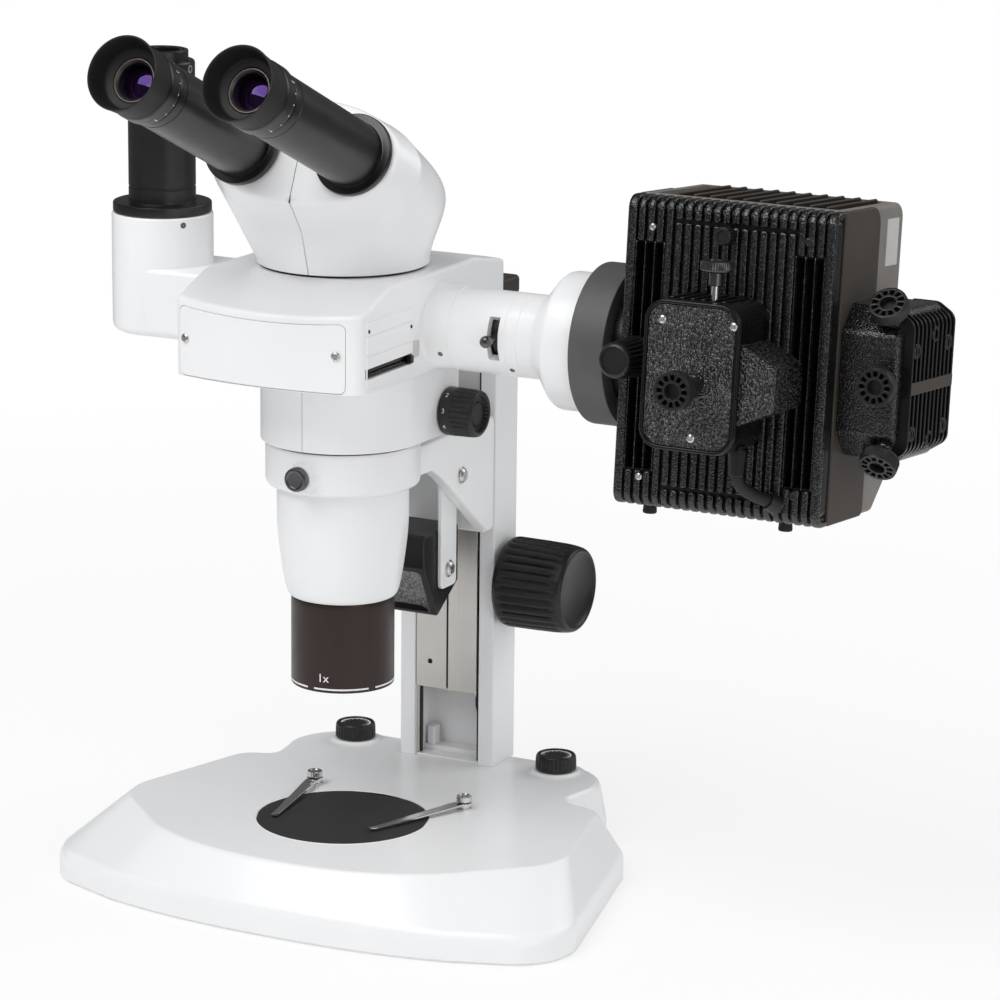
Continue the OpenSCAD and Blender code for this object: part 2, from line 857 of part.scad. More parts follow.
module focus_arm() color(white_paint)
    difference() {
        union() {
            translate([0, 0, ring_z])
                cylinder(r = ring_r, h = ring_h);
            translate([0, 0, lock_z])
                along_y(lock_boss_r, -lock_boss_y, -neck_r);
            both_sides()
                side_plate([[18, ring_z], [18, arm_top], [arm_back, arm_top], [arm_back, arm_bottom],
                            [arm_back - 8, arm_bottom], [strip_y - 24, ring_z - 7],
                            [strip_y - 36, ring_z]], cheek_in, arm_half_w);
            block(-arm_half_w, arm_half_w, arm_back - back_plate_t, arm_back, arm_bottom, arm_top);
            block(-boss_half_w, boss_half_w, arm_back - over, carriage_y, arm_bottom + 2, arm_top - 1);
        }
        translate([0, 0, arm_bottom - over])
            cylinder(r = ring_bore_r, h = arm_h + ring_h);
        translate([0, 0, lock_z])
            along_y(lock_shank_r + running, -lock_boss_y - over, -neck_r + over);
        for (x = [-1, 1], z = [12, arm_h - 14])
            translate([x * plate_screw_x, 0, arm_bottom + z])
                along_y(bolt_r + seat, arm_back - back_plate_t - over, carriage_y + over);
        both_sides()
            translate([0, strip_y, strip_screw_z])
                along_x(screw_r * 2 + seat, cheek_in - over, arm_half_w + over);
    }

module arm_screws() color(steel) {
    for (x = [-1, 1], z = [12, arm_h - 14])
        translate([x * plate_screw_x, arm_back - back_plate_t, arm_bottom + z]) {
            along_y(bolt_head_r, -5, 0);
            along_y(bolt_r, -1, back_plate_t + carriage_t);
        }
    both_sides() {
        translate([0, strip_y, strip_screw_z]) {
            along_x(screw_r * 2, cheek_in - strip_t, arm_half_w + 1);
            along_x(socket_head_r, arm_half_w, arm_half_w + 2.5);
        }
        translate([0, strip_y, pivot_z]) {
            along_x(screw_r * 2, housing_half_w - 5, cheek_in + 1);
            along_x(socket_head_r, cheek_in, cheek_in + 2.5);
        }
    }
}

module lamp_strips() color(white_paint)
    both_sides()
        difference() {
            union() {
                side_plate([[strip_y - strip_half_w, pivot_z], [strip_y + strip_half_w, pivot_z],
                            [strip_y + strip_half_w, strip_top], [strip_y - strip_half_w, strip_top]],
                           cheek_in - strip_t, cheek_in);
                translate([0, strip_y, pivot_z])
                    along_x(strip_half_w, cheek_in - strip_t, cheek_in);
            }
            for (z = [pivot_z, strip_screw_z])
                translate([0, strip_y, z])
                    along_x(screw_r * 2 + seat, 0, arm_half_w);
        }

module ring_lock_screw() color(black_plastic)
    translate([0, 0, lock_z]) {
        along_y(lock_shank_r, -lock_boss_y - clear - 1, -neck_r - clear);
        translate([0, -lock_boss_y - clear, 0])
            rotate([90, 0, 0])
                knob(lock_head_r, lock_head_l, lock_head_r - 2, 1);
    }

module at_window()
    translate([0, strip_y + window_mid[0], pivot_z + window_mid[1]])
        rotate([90 + window_lean, 0, 0])
            children();

module reflector_housing() color(black_plastic)
    difference() {
        translate([0, strip_y, pivot_z])
            side_plate([housing_tip, housing_back, [housing_back[0], housing_top],
                        [housing_brow[0], housing_top], housing_brow], -housing_half_w, housing_half_w);
        at_window()
            translate([-window_w / 2, -window_h / 2, -window_d])
                cube([window_w, window_h, window_d + over]);
        both_sides()
            translate([0, strip_y, pivot_z])
                along_x(screw_r * 2 + running, housing_half_w - 6, housing_half_w + over);
    }

module reflector_panel() color(steel)
    at_window()
        translate([-window_w / 2 + seat, -window_h / 2 + seat, -window_d])
            cube([window_w - 2 * seat, window_h - 2 * seat, 1.5]);

// Zoom body

module zoom_body_lower() color(white_paint)
    rotate_extrude()
        polygon(concat([[lower_bore_r, lower_z]],
                       [for (i = [0:4])
                            [lower_bottom_r - lower_round * (1 - sin(22.5 * i)) * 0.5,
                             lower_z + lower_round * (1 - cos(22.5 * i))]],
                       [[lower_top_r, ring_z - clear], [neck_r, ring_z], [neck_r, upper_z],
                        [lower_bore_r, upper_z]]));

module objective() color(black_paint)
    difference() {
        union() {
            translate([0, 0, objective_z])
                cylinder(r = objective_r, h = objective_h);
            translate([0, 0, lower_z - over])
                cylinder(r = lower_bore_r - seat, h = thread_l + over);
        }
        translate([0, 0, objective_z - over])
            cylinder(r = objective_bore_r, h = lens_t + 3 + over);
        translate([0, 0, objective_z])
            cylinder(r = objective_bore_r - 2, h = objective_h + thread_l + over);
    }

// The glass inside the optics, each disc in the bore that carries it.
module inner_lenses() color(glass_blue) {
    translate([0, 0, objective_z + 3])
        cylinder(r = objective_bore_r - seat, h = lens_t);
    translate([0, 0, lower_z + thread_l])
        cylinder(r = lower_bore_r - seat, h = lens_t);
    translate([0, 0, upper_z - 2 * lens_t])
        cylinder(r = lower_bore_r - seat, h = lens_t);
    in_lamp_frame()
        along_x(20, lamp_x1 + mirror_w - lamp_wall - 5, lamp_x1 + mirror_w - lamp_wall);
}

module zoom_body_upper() color(white_paint)
    difference() {
        union() {
            translate([0, 0, upper_z])
                cylinder(r = upper_r, h = upper_h);
            block(-upper_r, upper_r, 0, rear_block_y, upper_z, box_z);
        }
        translate([0, 0, upper_z - over])
            cylinder(r = lower_bore_r, h = upper_h + 2 * over);
        translate([0, 0, upper_z + upper_wall])
            cylinder(r = upper_r - upper_wall, h = upper_h);
        block(-upper_r + upper_wall, upper_r - upper_wall, 0, rear_block_y - upper_wall,
              upper_z + upper_wall, box_z + over);
        translate([0, zoom_y, zoom_z])
            along_x(zoom_shaft_r + running, -2 * upper_r, 2 * upper_r);
    }

module zoom_knobs() color(black_plastic)
    translate([0, zoom_y, zoom_z]) {
        along_x(zoom_shaft_r, -upper_r - 12, upper_r + 12);
        both_sides()
            translate([upper_r + clear, 0, 0])
                rotate([0, 90, 0])
                    difference() {
                        knob(zoom_knob_r, zoom_knob_l, zoom_knob_r - 4, 3);
                        translate([0, 0, -over])
                            cylinder(r = zoom_shaft_r + seat / 5, h = 12 - clear + over);
                    }
    }

// Head box

module box_plan(front_r, half_w)
    polygon(concat([for (i = [-6:6]) let (a = asin(half_w / front_r) * i / 6)
                        [front_r * sin(a), bulge_y - front_r * cos(a)]],
                   [[half_w, box_back - rear_chamfer[1]], [half_w - rear_chamfer[0], box_back],
                    [rear_chamfer[0] - half_w, box_back], [-half_w, box_back - rear_chamfer[1]]]));

// The front cover's own plan: a strip that follows the bulge.
module panel_plan(half_w, thick)
    intersection() {
        translate([0, bulge_y])
            difference() {
                circle(bulge_r, $fn = 180);
                circle(bulge_r - thick, $fn = 180);
            }
        translate([-half_w, -box_front - 2 * box_bulge])
            square([2 * half_w, box_front]);
    }

module head_box() color(white_paint)
    difference() {
        intersection() {
            translate([0, 0, box_z])
                linear_extrude(box_mid_h)
                    box_plan(bulge_r, box_half_w);
            side_plate([[-box_front - 2 * box_bulge, box_z], [box_back + over, box_z],
                        [box_back + over, box_z + box_back_h], [shell_r + 3, shell_z],
                        [-shell_r, shell_z], [-box_front, box_z + box_front_h],
                        [-box_front - 2 * box_bulge, box_z + box_front_h]], -box_half_w, box_half_w);
        }
        block(-cavity_half_w, cavity_half_w, -cavity_front, cavity_back, box_z + box_wall,
              box_z + cavity_h);
        translate([0, 0, box_z - over])
            cylinder(r = axis_hole_r, h = box_mid_h + 2 * over);
        translate([0, port_y, port_z])
            along_x(port_hole_r, -box_half_w - over, box_half_w + over);
        block(cavity_half_w - over, box_half_w + over, -slot_back - filter_travel - 2 * tab_l, -slot_back,
              slot_z, slot_z + slot_h);
        translate([0, 0, box_z + panel_inset - seat])
            linear_extrude(box_front_h - 2 * panel_inset + 2 * seat)
                panel_plan(box_half_w - panel_inset + seat, panel_t);
        for (s = [-1, 1])
            translate([s * (box_half_w - 14), 0, box_z + box_front_h / 2])
                along_y(screw_r + seat, -box_front - box_bulge, -cavity_front);
    }

module head_box_cover() color(white_paint)
    difference() {
        translate([0, 0, box_z + panel_inset])
            linear_extrude(box_front_h - 2 * panel_inset)
                panel_plan(box_half_w - panel_inset, panel_t - seat);
        for (s = [-1, 1])
            translate([s * (box_half_w - 14), 0, box_z + box_front_h / 2])
                along_y(screw_r + seat, -box_front - 2 * box_bulge, -cavity_front);
    }

module filter_slider() color(black_plastic) {
    difference() {
        block(-24, cavity_half_w - clear, -slider_half_l, slider_half_l, box_z + box_wall + clear,
              box_z + cavity_h - 3);
        for (y = [-16, 16])
            translate([0, y, box_z])
                cylinder(r = 11, h = box_mid_h);
    }
    block(cavity_half_w - over - clear, box_half_w + 2.5, -slot_back - tab_l - clear, -slot_back - clear,
          slot_z + 1, slot_z + slot_h - 1);
}

// Binocular head. On the face, X runs to the right, Y up the face and Z out along the eyetubes.
module on_face()
    translate([0, face_y, face_z])
        rotate([90 - tube_tilt, 0, 0])
            children();

// The shell's outside, or its hollow with an inset: a foot, a waist and two pads behind the eyetubes.
module shell_foot(inset)
    translate([0, 0, shell_z + (inset > 0 ? foot_plate_t : 0)])
        cylinder(r = shell_r - inset, h = 6, $fn = 48);

module shell_waist(inset)
    translate([0, waist_y, shell_z + waist_up])
        scale([(waist_half_w - inset) / (waist_half_d - inset), 1, 1])
            cylinder(r = waist_half_d - inset, h = 2, $fn = 48);

module shell_pads(inset)
    on_face()
        both_sides()
            translate([eye_spacing / 2 - 2, -2, -face_t - inset])
                cylinder(r = face_r - inset, h = face_t, $fn = 32);

module shell_form(inset) {
    hull() {
        shell_foot(inset);
        shell_waist(inset);
    }
    hull() {
        shell_waist(inset);
        shell_pads(inset);
    }
}

// The slot that an eyetube's neck swings in, an arc around its pivot.
module neck_slot()
    translate([pivot_x, pivot_y, -face_t]) {
        rotate([0, 0, pivot_rest - swing_out])
            rotate_extrude(angle = swing_out + swing_in)
                translate([pivot_swing - neck_slot_r, 0])
                    square([2 * neck_slot_r, face_t + over]);
        for (a = [-swing_out, swing_in])
            rotate([0, 0, pivot_rest + a])
                translate([pivot_swing, 0, 0])
                    cylinder(r = neck_slot_r, h = face_t + over);
    }

module binocular_shell() color(white_paint) {
    difference() {
        shell_form(0);
        shell_form(shell_wall);
        translate([0, 0, shell_z - over])
            cylinder(r = axis_hole_r, h = 10);
        on_face()
            both_sides()
                neck_slot();
    }
    on_face()
        both_sides()
            translate([pivot_x, pivot_y, -gear_back - 1])
                cylinder(r = pin_r, h = gear_back - shell_wall + 2);
}

// The plate that joins the eyetubes' swing: a gear around the pivot and an arm out to the neck.
module swing_plate(s)
    difference() {
        translate([0, 0, -gear_back])
            linear_extrude(gear_t) {
                translate([s * pivot_x, pivot_y]) {
                    gear_2d(gear_module, gear_teeth, backlash, 0);
                    rotate(s > 0 ? pivot_rest : 180 - pivot_rest)
                        translate([0, 1 - light_neck_r])
                            square([pivot_swing, 2 * light_neck_r - 2]);
                }
                translate([s * eye_spacing / 2, 0])
                    circle(light_neck_r + 3);
            }
        translate([s * pivot_x, pivot_y, -gear_back - over])
            cylinder(r = pin_r + running, h = gear_t + 2 * over);
        translate([s * eye_spacing / 2, 0, -gear_back - over])
            cylinder(r = light_neck_r + seat / 5, h = gear_t + 2 * over);
    }

// An eyetube on its flange, with the neck that reaches through the shell to its swing plate.
module eyetube(s) color(black_paint)
    on_face() {
        translate([s * eye_spacing / 2, 0, 0])
            difference() {
                union() {
                    translate([0, 0, clear])
                        cylinder(r = flange_r, h = flange_t - clear);
                    translate([0, 0, flange_t - 1])
                        cylinder(r = tube_r, h = tube_l - flange_t + 1);
                    translate([0, 0, -gear_back])
                        cylinder(r = light_neck_r, h = gear_back + flange_t - 1);
                }
                translate([0, 0, -gear_back - over])
                    cylinder(r = light_hole_r, h = tube_l);
                translate([0, 0, flange_t])
                    cylinder(r = barrel_r + running, h = tube_l);
            }
        swing_plate(s);
    }

module eyetube_left() eyetube(-1);

module eyetube_right() eyetube(1);

module eyepiece(s) color(black_plastic)
    on_face()
        translate([s * eye_spacing / 2, 0, tube_l + clear])
            rotate_extrude()
                polygon([[eye_bore_r, -barrel_l], [barrel_r, -barrel_l], [barrel_r, 0], [eyepiece_r, 0],
                         [eyepiece_r, ring_l], [eyepiece_r - 0.5, ring_l + 2], [eyepiece_r + 1, eyepiece_l],
                         [eyepiece_r - 0.6, eyepiece_l], [eyepiece_r - 4.5, eyepiece_l - cup_depth],
                         [eye_lens_r, eyepiece_l - cup_depth], [eye_lens_r, eye_lens_z],
                         [eye_bore_r, eye_lens_z]]);

module eyepiece_left() eyepiece(-1);

module eyepiece_right() eyepiece(1);

module eye_lens(s) color(glass_blue)
    on_face()
        translate([s * eye_spacing / 2, 0, tube_l + clear + eye_lens_z])
            cylinder(r = eye_lens_r - seat, h = eye_lens_t);

module eye_lens_left() eye_lens(-1);

module eye_lens_right() eye_lens(1);

// Camera port

module camera_arm() color(white_paint)
    difference() {
        union() {
            translate([-camera_x, port_y, camera_z])
                cylinder(r = camera_r, h = camera_h);
            block(-camera_x, -box_half_w, port_y - arm_half_d, port_y + arm_half_d, camera_z,
                  camera_z + camera_arm_h);
        }
        translate([-camera_x, port_y, camera_z + 4])
            cylinder(r = camera_tube_r - 2, h = camera_h);
        translate([0, port_y, port_z])
            along_x(camera_light_r, -camera_x, -box_half_w + over);
    }

module camera_tube() color(black_paint)
    translate([-camera_x, port_y, camera_z + camera_h])
        difference() {
            union() {
                translate([0, 0, -8])
                    cylinder(r = camera_tube_r - 2 - seat, h = 9);
                cylinder(r = camera_r - 0.8, h = camera_flange_t);
                cylinder(r = camera_tube_r, h = camera_flange_t + camera_tube_h);
                cylinder(r = collar_r, h = camera_flange_t + camera_tube_h + 2);
                cylinder(r = camera_stub_r, h = camera_flange_t + camera_tube_h + 2 + stub_h);
            }
            translate([0, 0, -8 - over])
                cylinder(r = camera_stub_r - 2, h = camera_h + camera_tube_h);
        }

// Illuminator. Its axis runs along X.
module on_port()
    translate([0, port_y, port_z])
        children();

module illuminator_tube() color(white_paint)
    on_port()
        difference() {
            union() {
                along_x(tube_out_r, box_half_w, flare_x + over);
                translate([flare_x, 0, 0])
                    rotate([0, 90, 0])
                        cylinder(r1 = tube_out_r, r2 = flare_r, h = flare_cone);
                along_x(flare_r, flare_x + flare_cone, coupling_x);
            }
            along_x(tube_bore_r, box_half_w - over, coupling_x + over);
            difference() {
                block(iris_x - clear, iris_x + iris_w + clear, -tube_out_r - over, 0, -tube_out_r,
                      tube_out_r);
                for (s = [-1, 1])
                    rotate([s * iris_half_a, 0, 0])
                        block(iris_x - 2, iris_x + iris_w + 2, -2 * tube_out_r, 0,
                              s < 0 ? 0 : -2 * tube_out_r, s < 0 ? 2 * tube_out_r : 0);
            }
        }

module iris_lever() color(steel)
    on_port() {
        difference() {
            union() {
                along_x(tube_bore_r - running, iris_x, iris_x + iris_w);
                translate([iris_x + iris_w / 2, 0, 0])
                    along_y(1.6, -tube_out_r - 8, 0);
            }
            along_x(tube_bore_r - 6, iris_x - over, iris_x + iris_w + over);
        }
        translate([iris_x + iris_w / 2, -tube_out_r - 9, 0])
            sphere(r = 3.2);
    }

module coupling_ring() color([0.2, 0.2, 0.21])
    on_port()
        difference() {
            along_x(coupling_r, coupling_x, lamp_x);
            along_x(cell_r, coupling_x - over, lamp_x + over);
        }

module collector_lens() color(glass_blue)
    on_port()
        translate([coupling_x + cell_travel + cell_gap, 0, 0])
            rotate([0, 90, 0])
                rotate_extrude()
                    polygon([[0, 2], [cell_r - 4, 5], [cell_r - 4, 0], [cell_r - running, 0],
                             [cell_r - running, cell_l], [cell_r - 4, cell_l], [cell_r - 4, cell_l - 5],
                             [0, cell_l - 2]]);

// The lamp house hangs on the illuminator axis, leaned back about it.
module in_lamp_frame()
    on_port()
        rotate([-lamp_tilt, 0, 0])
            children();

module lamp_case() color(black_paint)
    in_lamp_frame()
        difference() {
            block(lamp_x, lamp_x1, -case_front, case_d - case_front, -lamp_down, lamp_up);
            block(lamp_x + lamp_wall, lamp_x1 - lamp_wall, -case_front - over,
                  case_d - case_front - lamp_wall, -lamp_down + lamp_wall, lamp_up - lamp_wall);
            along_x(cell_r, lamp_x - over, lamp_x + lamp_wall + over);
            along_x(22, lamp_x1 - lamp_wall - over, lamp_x1 + over);
            for (i = [0:8])
                translate([lamp_x + 12 + i * (lamp_w - 24) / 9, 0, 0])
                    block(2, (lamp_w - 24) / 9 - 2, 12 - case_front, case_d - case_front - 14,
                          lamp_up - lamp_wall - over, lamp_up + over);
        }

// The slanted gland that the lamp lead goes into, as a cylinder that ends inside the front cover.
module at_gland(r, l)
    translate(lead_route[7] - l * unit(gland_way))
        rotate([0, acos(unit(gland_way)[2]), atan2(gland_way[1], gland_way[0])])
            cylinder(r = r, h = l + gland_r);

module lamp_front_cover() color(black_paint)
    in_lamp_frame()
        difference() {
            union() {
                cover_shell();
                at_gland(gland_r, gland_l);
            }
            at_gland(gland_bore_r, gland_l + over);
        }

module cover_shell()
        difference() {
            block(lamp_x, lamp_x1, -cover_front, -case_front, -lamp_down, lamp_up);
            block(lamp_x + lamp_wall, lamp_x1 - lamp_wall, -cover_front + cover_skin, -case_front + over,
                  -lamp_down + lamp_wall, lamp_up - lamp_wall);
            for (i = [1:rib_count - 1])
                translate([lamp_x + i * lamp_w / rib_count, 0, 0])
                    block(-rib_w / 2, rib_w / 2, -cover_front - over, -cover_front + rib_d,
                          -lamp_down - over, lamp_up + over);
            block(socket_x - opening_w / 2, socket_x + opening_w / 2, -cover_front - over, 0,
                  socket_up - opening_h / 2, socket_up + opening_h / 2);
            translate([collector_x, 0, collector_z])
                along_y(stem_r + running, -cover_front - over, 0);
            for (p = screw_places())
                translate([p[0], 0, p[1]])
                    along_y(screw_r + seat / 2, -cover_front - over, 0);
        }

// Where the front cover's screws and its latch knob sit, as X and Z.
function screw_places() = [[lamp_x + screw_inset, lamp_up - screw_inset],
                           [lamp_x + screw_inset, screw_inset - lamp_down],
                           [lamp_x1 - screw_inset, lamp_up - screw_inset],
                           [lamp_x1 - screw_inset, screw_inset - lamp_down],
                           [latch_x, lamp_up - screw_inset]];

module cover_screws() color(steel) {
    for (s = [-1, 1])
        translate([s * (box_half_w - 14), 0, box_z + box_front_h / 2]) {
            along_y(screw_r, -box_front - 3, -cavity_front);
            along_y(screw_head_r, -box_front - box_bulge, -box_front - 5);
        }
    in_lamp_frame()
        for (i = [0:4])
            translate([screw_places()[i][0], 0, screw_places()[i][1]]) {
                along_y(screw_r, -cover_front - 1, cover_skin - cover_front);
                along_y(i < 4 ? screw_head_r : latch_r, -cover_front - (i < 4 ? screw_head_h : latch_l),
                        -cover_front);
            }
}

module socket_box() color(black_paint)
    in_lamp_frame()
        difference() {
            union() {
                difference() {
                    socket_form(0, 0);
                    socket_form(socket_wall, over);
                }
                block(socket_x + socket_w / 2 - over, socket_x + socket_w / 2 + lug_w, -cover_front - 20,
                      -cover_front - 6, socket_up - 24, socket_up + 14);
                block(socket_x - 4, socket_x + 4, 3 - socket_front, 6, bulb_z - 6, bulb_z);
                translate([lead_route[0][0], lead_route[0][1], socket_up - socket_h / 2 - relief_l])
                    cylinder(r = gland_r, h = relief_l + over);
            }
            translate([socket_x, 0, socket_knob_z])
                along_y(stem_r + running, -socket_front - over, socket_wall - socket_front + over);
            translate([thumb_x, thumb_y, 0])
                cylinder(r = stem_r + running, h = socket_h);
            translate([lead_route[0][0], lead_route[0][1], -lamp_down])
                cylinder(r = lead_d / 2 + seat, h = lamp_down - 10);
        }

module socket_form(inset, back)
    translate([socket_x, back - cover_front, socket_up])
        rotate([90, 0, 0])
            linear_extrude(socket_d - inset + back)
                rounded(socket_w - 2 * inset, socket_h - 2 * inset, socket_round - inset);

module lamp_bulb() color(glass_blue)
    in_lamp_frame()
        translate([socket_x, 0, bulb_z])
            rotate_extrude()
                polygon([[0, 0], [4, 0], [4, 18], [8, 23], [9, 29], [8, 35], [4, 40], [4, 58], [0, 58]]);

module mirror_box() color(black_paint)
    in_lamp_frame()
        difference() {
            mirror_shape(0, lamp_x1, lamp_x1 + mirror_w);
            mirror_shape(lamp_wall, lamp_x1 - over, lamp_x1 + mirror_w - lamp_wall);
            for (a = [-45, 0, 45])
                at_mirror_knob(a)
                    translate([0, 0, -8])
                        cylinder(r = stem_r + running, h = 20);
        }

module mirror_shape(inset, x0, x1) {
    y0 = mirror_y0 + inset;
    y1 = mirror_y0 + mirror_d - inset;
    z0 = mirror_z0 + inset;
    z1 = mirror_z0 + mirror_h - inset;
    c = mirror_chamfer - inset * 0.59;
    side_plate([[y0 + c, z0], [y1, z0], [y1, z1], [y0 + c, z1], [y0, z1 - c], [y0, z0 + c]], x0, x1);
}

// A mirror knob's seat on the box's front edge: 45 is the upper chamfer, 0 the front, -45 the lower.
module at_mirror_knob(a) {
    half = mirror_chamfer / 2;
    y = a == 0 ? mirror_y0 : mirror_y0 + half;
    z = a == 0 ? mirror_knob_z : a > 0 ? mirror_z0 + mirror_h - half : mirror_z0 + half;
    translate([mirror_x, y, z])
        rotate([90 - a, 0, 0])
            children();
}

// A spoked adjusting knob on its stem, along +Z from the face it comes out of.
module spoke_knob(stem_l) {
    translate([0, 0, -3])
        cylinder(r = stem_r, h = stem_l + 4);
    translate([0, 0, stem_l])
        knob(spoke_knob_r, spoke_knob_l, spoke_knob_r - 2, 2);
}

module collector_knob() color(black_plastic)
    in_lamp_frame()
        translate([collector_x, -cover_front, collector_z]) {
            along_y(stem_r, -collector_knob_l / 2, cover_skin);
            translate([0, -4, 0])
                rotate([90, 0, 0])
                    knob(collector_r, collector_knob_l - 4, collector_r - 3, 2);
        }

module socket_knob() color(black_plastic)
    in_lamp_frame()
        translate([socket_x, -socket_front, socket_knob_z])
            rotate([90, 0, 0])
                spoke_knob(socket_stem_l);

module socket_thumbscrew() color(steel)
    in_lamp_frame()
        translate([thumb_x, thumb_y, socket_up + socket_h / 2]) {
            translate([0, 0, -3])
                cylinder(r = stem_r, h = thumb_stem + 4);
            translate([0, 0, thumb_stem])
                knob(thumb_r, thumb_h, thumb_r - 4, 1);
        }

module mirror_knob_top() color(black_plastic)
    in_lamp_frame()
        at_mirror_knob(45)
            spoke_knob(mirror_stem_l);

module mirror_knob_front() color(black_plastic)
    in_lamp_frame()
        at_mirror_knob(0)
            spoke_knob(mirror_stem_l);

module mirror_knob_bottom() color(black_plastic)
    in_lamp_frame()
        at_mirror_knob(-45)
            spoke_knob(mirror_stem_l);

// The lead: one tube swept along its route.
function unit(v) = v / norm(v);
function along_route(route, i) =
    unit(route[min(i + 1, len(route) - 1)] - route[max(i - 1, 0)]);
function ring_points(route, i, r, n) =
    let (t = along_route(route, i), u = unit(cross(t, [0, 1, 0])), v = cross(u, t))
    [for (k = [0:n - 1]) route[i] + r * (cos(360 * k / n) * u + sin(360 * k / n) * v)];

module swept_tube(route, r, n) {
    count = len(route);
    points = [for (i = [0:count - 1]) each ring_points(route, i, r, n)];
    walls = [for (i = [0:count - 2], k = [0:n - 1])
                 [i * n + k, i * n + (k + 1) % n, (i + 1) * n + (k + 1) % n, (i + 1) * n + k]];
    polyhedron(points, concat([[for (k = [n - 1:-1:0]) k]], walls,
                              [[for (k = [0:n - 1]) (count - 1) * n + k]]));
}

module lamp_lead() color(black_plastic)
    in_lamp_frame()
        swept_tube(lead_route, lead_d / 2, lead_sides);

base_casting();
base_cover();
rubber_feet();
base_screws();
column();
column_cap();
guide_rails();
pinion_bushes();
dimmers();
power_inlet();
stage_plate();
clip_screws();
stage_clip_left();
stage_clip_right();
light_knob_left();
light_knob_right();
focus_shaft();
focus_knobs();
carriage();
rack();
focus_arm();
arm_screws();
lamp_strips();
ring_lock_screw();
reflector_housing();
reflector_panel();
zoom_body_upper();
zoom_body_lower();
objective();
inner_lenses();
zoom_knobs();
head_box();
head_box_cover();
filter_slider();
cover_screws();
binocular_shell();
eyetube_left();
eyetube_right();
eyepiece_left();
eyepiece_right();
eye_lens_left();
eye_lens_right();
camera_arm();
camera_tube();
illuminator_tube();
iris_lever();
coupling_ring();
collector_lens();
lamp_case();
lamp_front_cover();
socket_box();
lamp_bulb();
mirror_box();
collector_knob();
socket_knob();
socket_thumbscrew();
mirror_knob_top();
mirror_knob_front();
mirror_knob_bottom();
lamp_lead();
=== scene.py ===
import json
from math import asin, atan2, cos, pi, radians, sin, sqrt, tan

import bmesh
import bpy
from mathutils import Matrix, Vector
from mathutils.geometry import tessellate_polygon


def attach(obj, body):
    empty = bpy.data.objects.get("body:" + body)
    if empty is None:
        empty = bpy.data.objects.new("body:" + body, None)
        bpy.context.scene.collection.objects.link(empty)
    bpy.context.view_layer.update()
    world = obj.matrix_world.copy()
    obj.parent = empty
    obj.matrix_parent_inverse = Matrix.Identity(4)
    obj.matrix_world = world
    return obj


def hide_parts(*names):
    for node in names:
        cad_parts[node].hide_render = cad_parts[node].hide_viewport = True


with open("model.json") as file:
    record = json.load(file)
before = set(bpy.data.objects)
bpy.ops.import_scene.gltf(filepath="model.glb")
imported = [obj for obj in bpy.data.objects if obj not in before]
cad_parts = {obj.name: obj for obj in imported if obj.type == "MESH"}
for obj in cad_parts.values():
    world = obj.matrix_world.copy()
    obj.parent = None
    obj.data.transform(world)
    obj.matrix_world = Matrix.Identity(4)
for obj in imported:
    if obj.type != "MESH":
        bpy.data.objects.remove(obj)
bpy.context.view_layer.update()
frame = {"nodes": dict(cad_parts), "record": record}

MM = 0.001


def placed(name, data):
    """A new object in the scene."""
    thing = bpy.data.objects.new(name, data)
    bpy.context.collection.objects.link(thing)
    return thing


# Camera: the photograph's viewpoint.

def set_camera():
    turn, rise, roll = radians(27.59), radians(14.70), radians(0.50)
    target, distance = Vector((60, 40, 190)), 2488
    back = Vector((sin(turn) * cos(rise), -cos(turn) * cos(rise), sin(rise)))
    right = Vector((cos(turn), sin(turn), 0))
    up = back.cross(right)
    right, up = right * cos(roll) + up * sin(roll), up * cos(roll) - right * sin(roll)
    lens = bpy.data.cameras.new("camera")
    lens.sensor_width, lens.lens = 36, 156.5
    lens.shift_x, lens.shift_y = 0.0314, 0.0641
    lens.clip_end = 100
    camera = placed("camera", lens)
    place = Matrix((right, up, back)).transposed().to_4x4()
    place.translation = (target + back * distance) * MM
    camera.matrix_world = place
    bpy.context.scene.camera = camera


set_camera()


# Finishes.

class Value:
    """A shader socket, with the sums that are written on it."""

    def __init__(self, finish, node, out=0):
        self.finish, self.node, self.socket = finish, node, node.outputs[out]

    def out(self, name):
        return Value(self.finish, self.node, name)

    def sum(self, operation, first, second):
        return self.finish.node("ShaderNodeMath", {"operation": operation}, {0: first, 1: second})

    def __add__(self, other):
        return self.sum("ADD", self, other)

    def __sub__(self, other):
        return self.sum("SUBTRACT", self, other)

    def __rsub__(self, other):
        return self.sum("SUBTRACT", other, self)

    def __mul__(self, other):
        return self.sum("MULTIPLY", self, other)

    __radd__ = __add__
    __rmul__ = __mul__


class Nodes:
    """A tree of shader nodes. Every node is added through node()."""

    def __init__(self, tree):
        self.tree = tree

    def node(self, kind, settings, sockets):
        node = self.tree.nodes.new(kind)
        for key, value in settings.items():
            setattr(node, key, value)
        for key, value in sockets.items():
            self.feed(node.inputs[key], value)
        return Value(self, node)

    def feed(self, socket, value):
        if isinstance(value, Value):
            self.tree.links.new(value.socket, socket)
        else:
            socket.default_value = value

    def show(self, shader):
        output = next(n for n in self.tree.nodes if n.type in ("OUTPUT_MATERIAL", "OUTPUT_WORLD"))
        self.feed(output.inputs["Surface"], shader)


